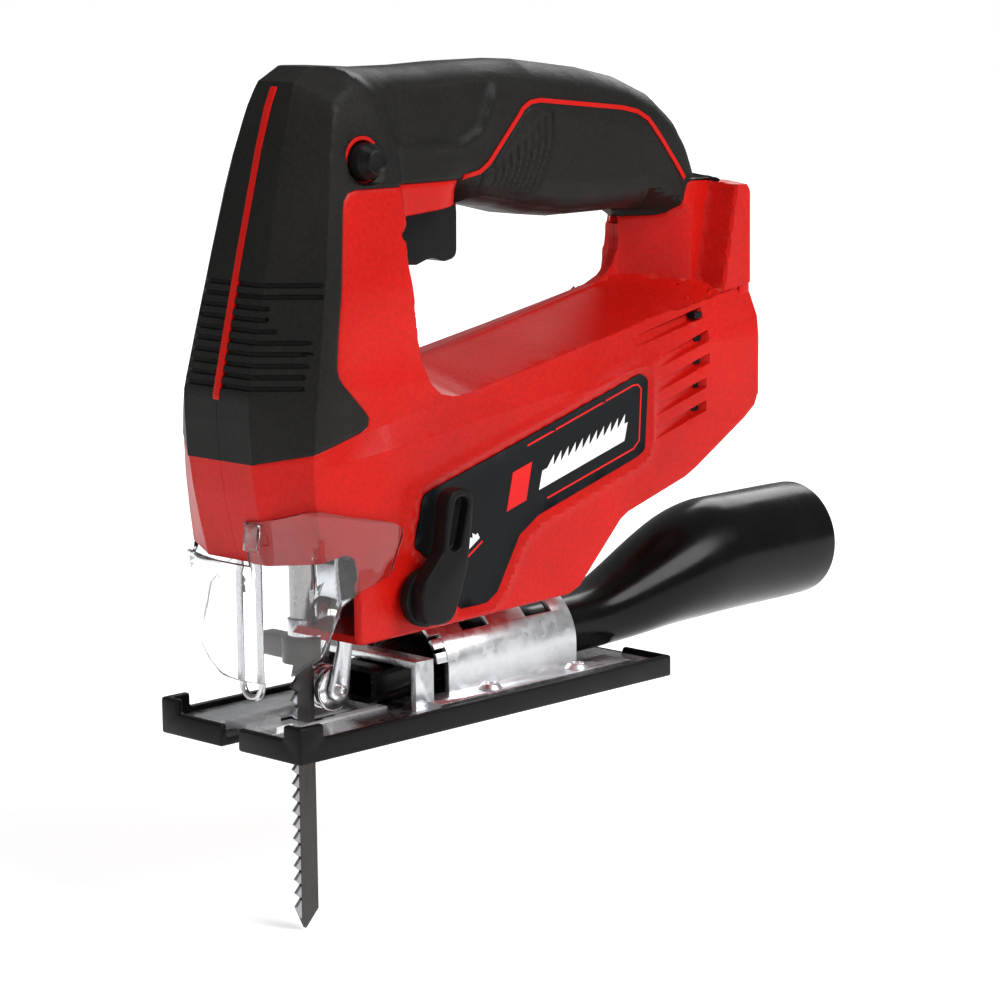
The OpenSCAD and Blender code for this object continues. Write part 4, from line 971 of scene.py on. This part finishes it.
class JIGSAW_OT_grip_skins(bpy.types.Operator):
    """The soft black skin over nose, cap and handle."""

    bl_idname = "jigsaw.grip_skins"
    bl_label = "Grip Skins"

    def execute(self, context):
        sizes = context.scene.jigsaw_sizes
        outline = (COLOUR_LINE + UNDER_GRIP[1:] + COLUMN_LINE[1:] + TOP[::-1] + NOSE[1:8])
        sides = np.array([-RIB_HALF, -RIB_FLOOR, RIB_FLOOR, RIB_HALF])
        ribs = np.concatenate([RIB_TOP - RIB_PITCH * k + sides for k in range(len(RIB_REACH))])
        cuts = (spread(-76, 108, GRID), np.concatenate([spread(81, 99, 2), ribs, spread(131, 186, GRID)]))
        seams = [NOSE, TOP, UNDER_GRIP]
        edge = list(zip(CAP_EDGE[1], CAP_EDGE[0]))
        panel = [corner[:2] for corner in RECESS]
        creases = pairs(edge) + pairs(panel) + nose_corner()
        piece = cover("grip_skin_right", outline, seams, skin_surface, cuts, sizes.skin_wall / MM,
                      flush=0.6, creases=creases)
        groove_nose(piece)
        both_sides(piece, "grip_skin_{}", "housing", "black_skin",
                   nodes="skin", smooth=22)
        return {"FINISHED"}


class JIGSAW_OT_seam_strip(bpy.types.Operator):
    """The raised red strip in the nose's seam."""

    bl_idname = "jigsaw.seam_strip"
    bl_label = "Seam Strip"

    def execute(self, context):
        front = [(-53.4, 181.2), (-55.9, 175.6)] + NOSE[3:7] + [(-76.7, 97.8)]
        outline = [(x - 0.25, z) for x, z in front] + [(x + 2.4, z) for x, z in front[::-1]]
        piece = soften(prism("seam_strip", outline, -1.35, 1.35), 0.5, 3)
        done(piece, "housing", "red_line")
        return {"FINISHED"}


class JIGSAW_OT_grip_inlays(bpy.types.Operator):
    """The thin red line that frames the grip, and the grooved pad below it."""

    bl_idname = "jigsaw.grip_inlays"
    bl_label = "Grip Inlays"

    def execute(self, context):
        line = laid("line", ribbon(RED_LINE, 1.3), 0.35, 0.9, skin_surface, 1.6)
        both_sides(line, "grip_line_{}", "housing", "red_line")
        pad_line = [(x + 1.4 * (x < 26), z - 1.5 + 0.8 * (x < 10)) for x, z in RED_LINE[1:-2]]
        pad = pad_line + [(93, 148.4), (94, 144), (92, 140.6), (88.5, 139), (84, 138.6), (78, 141.4),
                          (66, 140.8), (50, 140.9), (35, 142.6), (22, 145.6), (12.5, 147.4), (9, 150)]
        grooves = []
        for k in range(9):
            t = k / 8
            begin = Vector((14.6, 156)).lerp(Vector((37.5, 171)), t)
            end = Vector((13, 150)).lerp(Vector((28.5, 145.5)), t)
            bend = begin.lerp(end, 0.45) + Vector((1 + 5.5 * t, 0.4))
            grooves.append([arc(begin, bend, end, u) for u in (0, 0.2, 0.4, 0.6, 0.8, 1)])

        def grooved(x, z):
            gap = np.min([distance(x, z, groove) for groove in grooves], axis=0)
            edge = distance(x, z, pad + pad[:1])
            rim = np.interp(edge, [0, 0.8], [0.35, 0])
            return skin_surface(x, z) - 0.6 * np.interp(gap, [0.2, 0.65], [1, 0]) - rim

        cuts = (np.concatenate([spread(9, 40, 0.75), spread(40, 95, 2.4)]),
                np.concatenate([spread(139, 145, 2), spread(145, 173, 0.8)]))
        piece = cover("pad", pad, [], grooved, cuts, 1.2, (0.4, 0.6), 0.45)
        both_sides(piece, "grip_pad_inlay_{}", "housing", "black_skin",
                   nodes="grip_pad")
        return {"FINISHED"}


class JIGSAW_OT_side_prints(bpy.types.Operator):
    """The dark films on both sides, with a thin red border and plain saw-tooth marks."""

    bl_idname = "jigsaw.side_prints"
    bl_label = "Side Prints"

    def execute(self, context):
        film = laid("film", fillet(LABEL, 4), 0.45, 0.5, surface, 3)
        both_sides(film, "side_film_{}", "housing", "label_print",
                   nodes="label")
        border = [(22, 61.2), (58.6, 71.2), (61, 73.4), (61.9, 88.6), (60.6, 90), (58.4, 90), (14, 77.4)]
        teeth = [(-14.4, 47.6), (-5.4, 53.4), (-6.3, 54.9)]
        for k in range(6):
            t = k / 6
            root = Vector((-6.9, 54.4)).lerp(Vector((-14.6, 49.5)), t)
            teeth += [tuple(root), tuple(root + Vector((-1.4, 0.7)))]
        marks = {
            "border_line": (ribbon(border, 0.55), "print_red"),
            "orbit_mark": (teeth, "print_white"),
            "orbit_line": (ribbon([(-13, 46.7), (-4.3, 52.3)], 0.6), "print_red"),
            "badge": ([(5.4, 59.4), (13.4, 61.7), (15.8, 72.6), (8, 70.4)], "print_red"),
            "plain_bar": ([(18.6, 64), (54.6, 74), (56, 79.4), (20, 69.4)], "print_white"),
        }
        for k in range(11):
            at = 22 + 3 * k
            notch = [(at, 69.95 + 0.278 * (at - 22)), (at + 2.6, 70.67 + 0.278 * (at - 22)),
                     (at + 2.9, 73.6 + 0.278 * (at - 22))]
            marks[f"tooth_{k + 1}"] = (notch, "print_white")
        for name, (outline, finish) in marks.items():
            mark = laid(name, outline, 0.5, 0.06, surface, 8)
            both_sides(mark, name + "_{}", "housing", finish)
        return {"FINISHED"}


class JIGSAW_OT_painted_vent_shade(bpy.types.Operator):
    """Black blocks at the deep end of each cooling groove: painted shade that stands in for the dark open
    slots.
    """

    bl_idname = "jigsaw.vent_grilles"
    bl_label = "Vent Grilles"

    def execute(self, context):
        for k, ((x, z), _) in enumerate(VENTS):
            outline = fillet([(x - 2.4, z - 1.2, 0.7), (x + 0.9, z - 1, 0.7), (x + 0.9, z + 0.9, 0.7),
                              (x - 2.4, z + 0.7, 0.7)], 3)
            # each black block shows through the groove floor as painted shade where the open slot would be
            piece = soften(prism("grille", outline, -24, -27.1), 0.2, 1)
            both_sides(piece, f"vent_grille_{k + 1}_{{}}", "housing", "black_plastic")
        return {"FINISHED"}


class JIGSAW_OT_lock_off_button(bpy.types.Operator):
    """The round lock-off button, its red-lined pocket and the hole in the skin."""

    bl_idname = "jigsaw.lock_off_button"
    bl_label = "Lock-off Button"

    def execute(self, context):
        x, z = LOCK
        hole = turned("hole", [(-34, 6.1), (-14, 6.1)], (x, 0, z))
        carve(bpy.data.objects["grip_skin_right"], hole, "FAST")
        pocket = prism("lock_pocket", ring(6.8, LOCK, 48), -12, -20.2)
        carve(pocket, turned("bore", [(-30, 5.7), (-13.4, 5.7)], (x, 0, z)))
        carve(pocket, turned("bore", [(-30, 5.2), (-8, 5.2)], (x, 0, z)))
        done(soften(pocket, 0.25), "housing", "red_plastic")
        profile = [(-8.6, 3), (-8.6, 5), (-22.6, 5), (-23.4, 4.8), (-24.4, 4.1), (-25.6, 3.8), (-26.3, 3.5),
                   (-26.5, 3.1), (-26.3, 2.7), (-25.9, 2.2), (-25.8, 0.8)]
        button = turned("lock_off_button", profile, (x, 0, z))
        done(button, "lock_button", "black_plastic", stands_for=("lock_button",))
        return {"FINISHED"}


class JIGSAW_OT_trigger_lever(bpy.types.Operator):
    """The trigger, hollowed for the finger."""

    bl_idname = "jigsaw.trigger_lever"
    bl_label = "Trigger"

    def execute(self, context):
        outline = fillet([(-13, 156, 0.5), (-13, 138, 3), (-12.2, 129.6, 1.5), (-7, 129.2, 2), (-1, 131, 6),
                          (4, 129.3, 3), (8.8, 130.2, 3), (9, 143, 3), (8, 156, 0.5)])
        piece = soften(prism("trigger_lever", outline, -6.9, 6.9), 1.6, 4, 40)
        done(piece, "trigger", "black_plastic", stands_for=("trigger",))
        return {"FINISHED"}


class JIGSAW_OT_blade_guard(bpy.types.Operator):
    """The clear guard, bent round the nose, with its stepped sides."""

    bl_idname = "jigsaw.blade_guard"
    bl_label = "Blade Guard"

    def execute(self, context):
        half = [(-36.8, 30.4), (-41, 30), (-46, 29.5), (-52, 28.9), (-58, 27.9), (-62, 27.2), (-64.6, 26.8),
                (-65.8, 26.3), (-66.6, 25.2), (-68, 21), (-69.4, 16.6), (-70.4, 12.5), (-71, 9.4),
                (-71.3, 7.2), (-71.35, 6.7), (-71.5, 3)]
        path = [(x, -y) for x, y in half] + half[::-1]
        rows = 15
        start()
        bpy.ops.mesh.primitive_grid_add(x_subdivisions=len(path) - 1, y_subdivisions=rows - 1, size=0.1)
        piece = placed(bpy.context.object)
        piece.name = "blade_guard"
        order = sorted(piece.data.vertices, key=lambda v: (round(v.co.x, 6), round(v.co.y, 6)))
        for k, vertex in enumerate(order):
            x, y = path[k // rows]
            side = abs(y) > GUARD_FRONT_HALF
            low = np.interp(x, *GUARD_SIDE_FOOT) if side else np.interp(abs(y), *GUARD_FRONT_FOOT)
            high = np.interp(x, *GUARD_TOP)
            if abs(y) < 7 or (y > 0 and x < -60):
                high = GUARD_FRONT_TOP
            z = low + (high - low) * (k % rows) / (rows - 1)
            # it leans back below the nose and forward above its foot, and its sides lie on the housing
            under = max(0, NOSE_FOOT - z)
            x += 0.075 * under - 0.2 * max(0, z - NOSE_FOOT) * (not side)
            if side:
                y = math.copysign(float(body_width(np.array([x]), np.array([max(z, 54.0)]))[0]) + 1, y)
            vertex.co = (x * MM, y * (1 - 0.0042 * under) * MM, z * MM)
        outward(piece)
        modify(piece, "SOLIDIFY", thickness=context.scene.jigsaw_sizes.guard_wall, offset=0, use_rim=True)
        soften(piece, 0.25, 2, 50)
        done(piece, "housing", "clear_plastic", stands_for=("chip_guard",), smooth=40)
        clip = soften(prism("guard_clip", fillet([(-75.4, 57, 0.4), (-74.4, 64.4, 0.4), (-73.4, 64.4, 0.4),
                                                  (-74, 57, 0.4)], 2), -7.6, -13.6), 0.3, 1)
        done(clip, "housing", "clear_plastic")
        return {"FINISHED"}


class JIGSAW_OT_orbit_selector(bpy.types.Operator):
    """The pendulum selector: round foot, bent arm and a long finger recess."""

    bl_idname = "jigsaw.orbit_selector"
    bl_label = "Orbit Selector"

    def execute(self, context):
        arm = fillet([(-24.8, 33.4, 6), (-19, 48.6, 7), (-17, 62, 3), (-16.6, 70.4, 5), (-26, 70.4, 5),
                      (-28.2, 54, 5), (-36.6, 45, 6), (-36.4, 33.4, 6)], 7)
        piece = prism("orbit_selector", arm, -33, -38.3)
        slot = fillet([(-22, 53, 2.6), (-18, 67.8, 2.6), (-23.4, 68.4, 2.6), (-26.6, 54, 2.6)], 6)
        carve(piece, prism("slot", slot, -35, -45))
        soften(piece, 0.7, 3, 40)
        foot = soften(prism("orbit_foot", ring(8.3, (-30, 40.5), 48), -30.4, -33.6), 0.5, 2)
        shaft = soften(turned("orbit_shaft", [(-30.6, 3.4), (-6.6, 3.4)], (-30, 0, 40.5), 32), 0.3, 1)
        done(piece, "orbit_lever", "black_plastic", stands_for=("orbit_lever",))
        done(foot, "orbit_lever", "black_plastic")
        done(shaft, "orbit_lever", "dark_steel")
        return {"FINISHED"}


class JIGSAW_OT_dust_pipe(bpy.types.Operator):
    """The dust duct that swells into the round tube, open at its mouth."""

    bl_idname = "jigsaw.dust_pipe"
    bl_label = "Dust Pipe"

    def execute(self, context):
        count = 48
        start()
        bpy.ops.mesh.primitive_circle_add(vertices=count, radius=0.01, fill_type="NOTHING",
                                          rotation=(0, math.pi / 2, 0))
        piece = placed(bpy.context.object)
        piece.name = "dust_pipe"
        pick(piece, True)
        for _ in DUCT[1:]:
            bpy.ops.mesh.extrude_region_move(TRANSFORM_OT_translate={"value": (0.001, 0, 0)})
        start()
        order = sorted(piece.data.vertices, key=lambda v: round(v.co.x, 5))
        for k, vertex in enumerate(order):
            x, middle, tall, wide, square = DUCT[k // count]
            turn = math.atan2(vertex.co.y, vertex.co.z)
            c, s = math.cos(turn), math.sin(turn)
            reach = (abs(c) ** square + abs(s) ** square) ** (-1 / square)
            vertex.co = (x * MM, wide * s * reach * MM, (middle + tall * c * reach) * MM)
        outward(piece)
        modify(piece, "SUBSURF", levels=1, render_levels=1)
        modify(piece, "SOLIDIFY", thickness=context.scene.jigsaw_sizes.tube_wall, offset=-1, use_rim=True)
        done(piece, "dust_tube", "gloss_black", stands_for=("dust_tube",))
        return {"FINISHED"}


class JIGSAW_OT_battery_dock(bpy.types.Operator):
    """The rear well with the two rails that the battery slides on."""

    bl_idname = "jigsaw.battery_dock"
    bl_label = "Battery Dock"

    def execute(self, context):
        corners = [(x, z, 1) for x, z in box(110.4, 80, 114.8, 143.6)]
        piece = prism("battery_dock", fillet(corners, 3), -25.6, 25.6)
        carve(piece, prism("well", box(105, 85, 140, 170), -24.2, 24.2))
        carve(piece, prism("window", box(90, 97, 120, 115), -15, 15))
        done(soften(piece, 0.4), "housing", "red_plastic")
        rail = prism("rail", box(108.6, 88, 114.4, 143), -24.4, -20.4)
        carve(rail, prism("groove", box(109.8, 80, 112.6, 150), -22.6, -10))
        both_sides(soften(rail, 0.3), "battery_rail_{}", "housing", "black_plastic")
        return {"FINISHED"}


class JIGSAW_OT_screw_wells(bpy.types.Operator):
    """Round wells over the housing screws, on the left side."""

    bl_idname = "jigsaw.screw_wells"
    bl_label = "Screw Wells"

    def execute(self, context):
        for k, (x, z) in enumerate(WELLS):
            wide = float(np.min(surface(x + np.array([-4.4, 0, 4.4, 0]), z + np.array([0, 4.4, 0, -4.4]))))
            for owner in ("housing_shell_left", "grip_skin_left", "side_film_left"):
                shell = bpy.data.objects[owner]
                points = coordinates(shell)
                if np.any(np.hypot(points[:, 0] - x, points[:, 2] - z) < WELL_NEAR):
                    carve(shell, turned("drill", [(6, WELL_BORE), (60, WELL_BORE)], (x, 0, z), 24), "FAST")
            rim = prism("well", ring(WELL_WALL, (x, z), 32), 11.2, wide - 0.6)
            carve(rim, turned("bore", [(5, WELL_BORE), (60, WELL_BORE)], (x, 0, z), 24))
            skin = inside(np.array([x]), np.array([z]), COLOUR_LINE + [(90, 150), (90, 200), (-90, 200)])[0]
            done(rim, "housing", "black_skin" if skin else "red_plastic")
            rim.name = f"screw_well_{k + 1}"
        return {"FINISHED"}


class JIGSAW_OT_redrawn_parts(bpy.types.Operator):
    """Shoe, base plate, bracket, roller, fork, clamp and blade, redrawn with rounded edges."""

    bl_idname = "jigsaw.redrawn_parts"
    bl_label = "Shoe, Clamp and Blade"

    def execute(self, context):
        names = {"base_shoe": "shoe", "base_plate": "sole_plate", "saw_blade": "jigsaw_blade",
                 "splinter_insert": "anti_splinter_insert", "tilt_bracket": "bevel_bracket"}
        for node, (body, finish, bevel) in REDRAWN.items():
            piece = from_frame(node, names.get(node, node + "_detailed"), bevel)
            done(piece, body, finish, (node,))
        return {"FINISHED"}


# ---- the sidebar and the run ----


class JIGSAW_PT_sidebar(bpy.types.Panel):
    """Colours, sizes and building steps of the jigsaw."""

    bl_label = "Cordless Jigsaw"
    bl_space_type = "VIEW_3D"
    bl_region_type = "UI"
    bl_category = "Jigsaw"

    def draw(self, context):
        for group in (context.scene.jigsaw_colours, context.scene.jigsaw_sizes):
            frame_of_group = self.layout.box()
            for name in group.__annotations__:
                frame_of_group.prop(group, name)
        for operator in OPERATORS:
            self.layout.operator(operator.bl_idname)


GROUPS = (JigsawColours, JigsawSizes)
OPERATORS = (
    JIGSAW_OT_studio, JIGSAW_OT_frame_finishes, JIGSAW_OT_housing_shells, JIGSAW_OT_grip_skins,
    JIGSAW_OT_seam_strip, JIGSAW_OT_grip_inlays, JIGSAW_OT_side_prints, JIGSAW_OT_painted_vent_shade,
    JIGSAW_OT_lock_off_button, JIGSAW_OT_trigger_lever, JIGSAW_OT_blade_guard,
    JIGSAW_OT_orbit_selector, JIGSAW_OT_dust_pipe, JIGSAW_OT_battery_dock, JIGSAW_OT_screw_wells,
    JIGSAW_OT_redrawn_parts,
)


def register():
    for item in (*GROUPS, *OPERATORS, JIGSAW_PT_sidebar):
        bpy.utils.register_class(item)
    bpy.types.Scene.jigsaw_colours = bpy.props.PointerProperty(type=JigsawColours)
    bpy.types.Scene.jigsaw_sizes = bpy.props.PointerProperty(type=JigsawSizes)


def unregister():
    del bpy.types.Scene.jigsaw_sizes
    del bpy.types.Scene.jigsaw_colours
    for item in (JIGSAW_PT_sidebar, *OPERATORS[::-1], *GROUPS[::-1]):
        bpy.utils.unregister_class(item)


def main():
    register()
    bpy.ops.jigsaw.studio()
    bpy.ops.jigsaw.frame_finishes()
    bpy.ops.jigsaw.housing_shells()
    bpy.ops.jigsaw.grip_skins()
    bpy.ops.jigsaw.seam_strip()
    bpy.ops.jigsaw.grip_inlays()
    bpy.ops.jigsaw.side_prints()
    bpy.ops.jigsaw.vent_grilles()
    bpy.ops.jigsaw.lock_off_button()
    bpy.ops.jigsaw.trigger_lever()
    bpy.ops.jigsaw.blade_guard()
    bpy.ops.jigsaw.orbit_selector()
    bpy.ops.jigsaw.dust_pipe()
    bpy.ops.jigsaw.battery_dock()
    bpy.ops.jigsaw.screw_wells()
    bpy.ops.jigsaw.redrawn_parts()


if __name__ == "__main__":
    main()
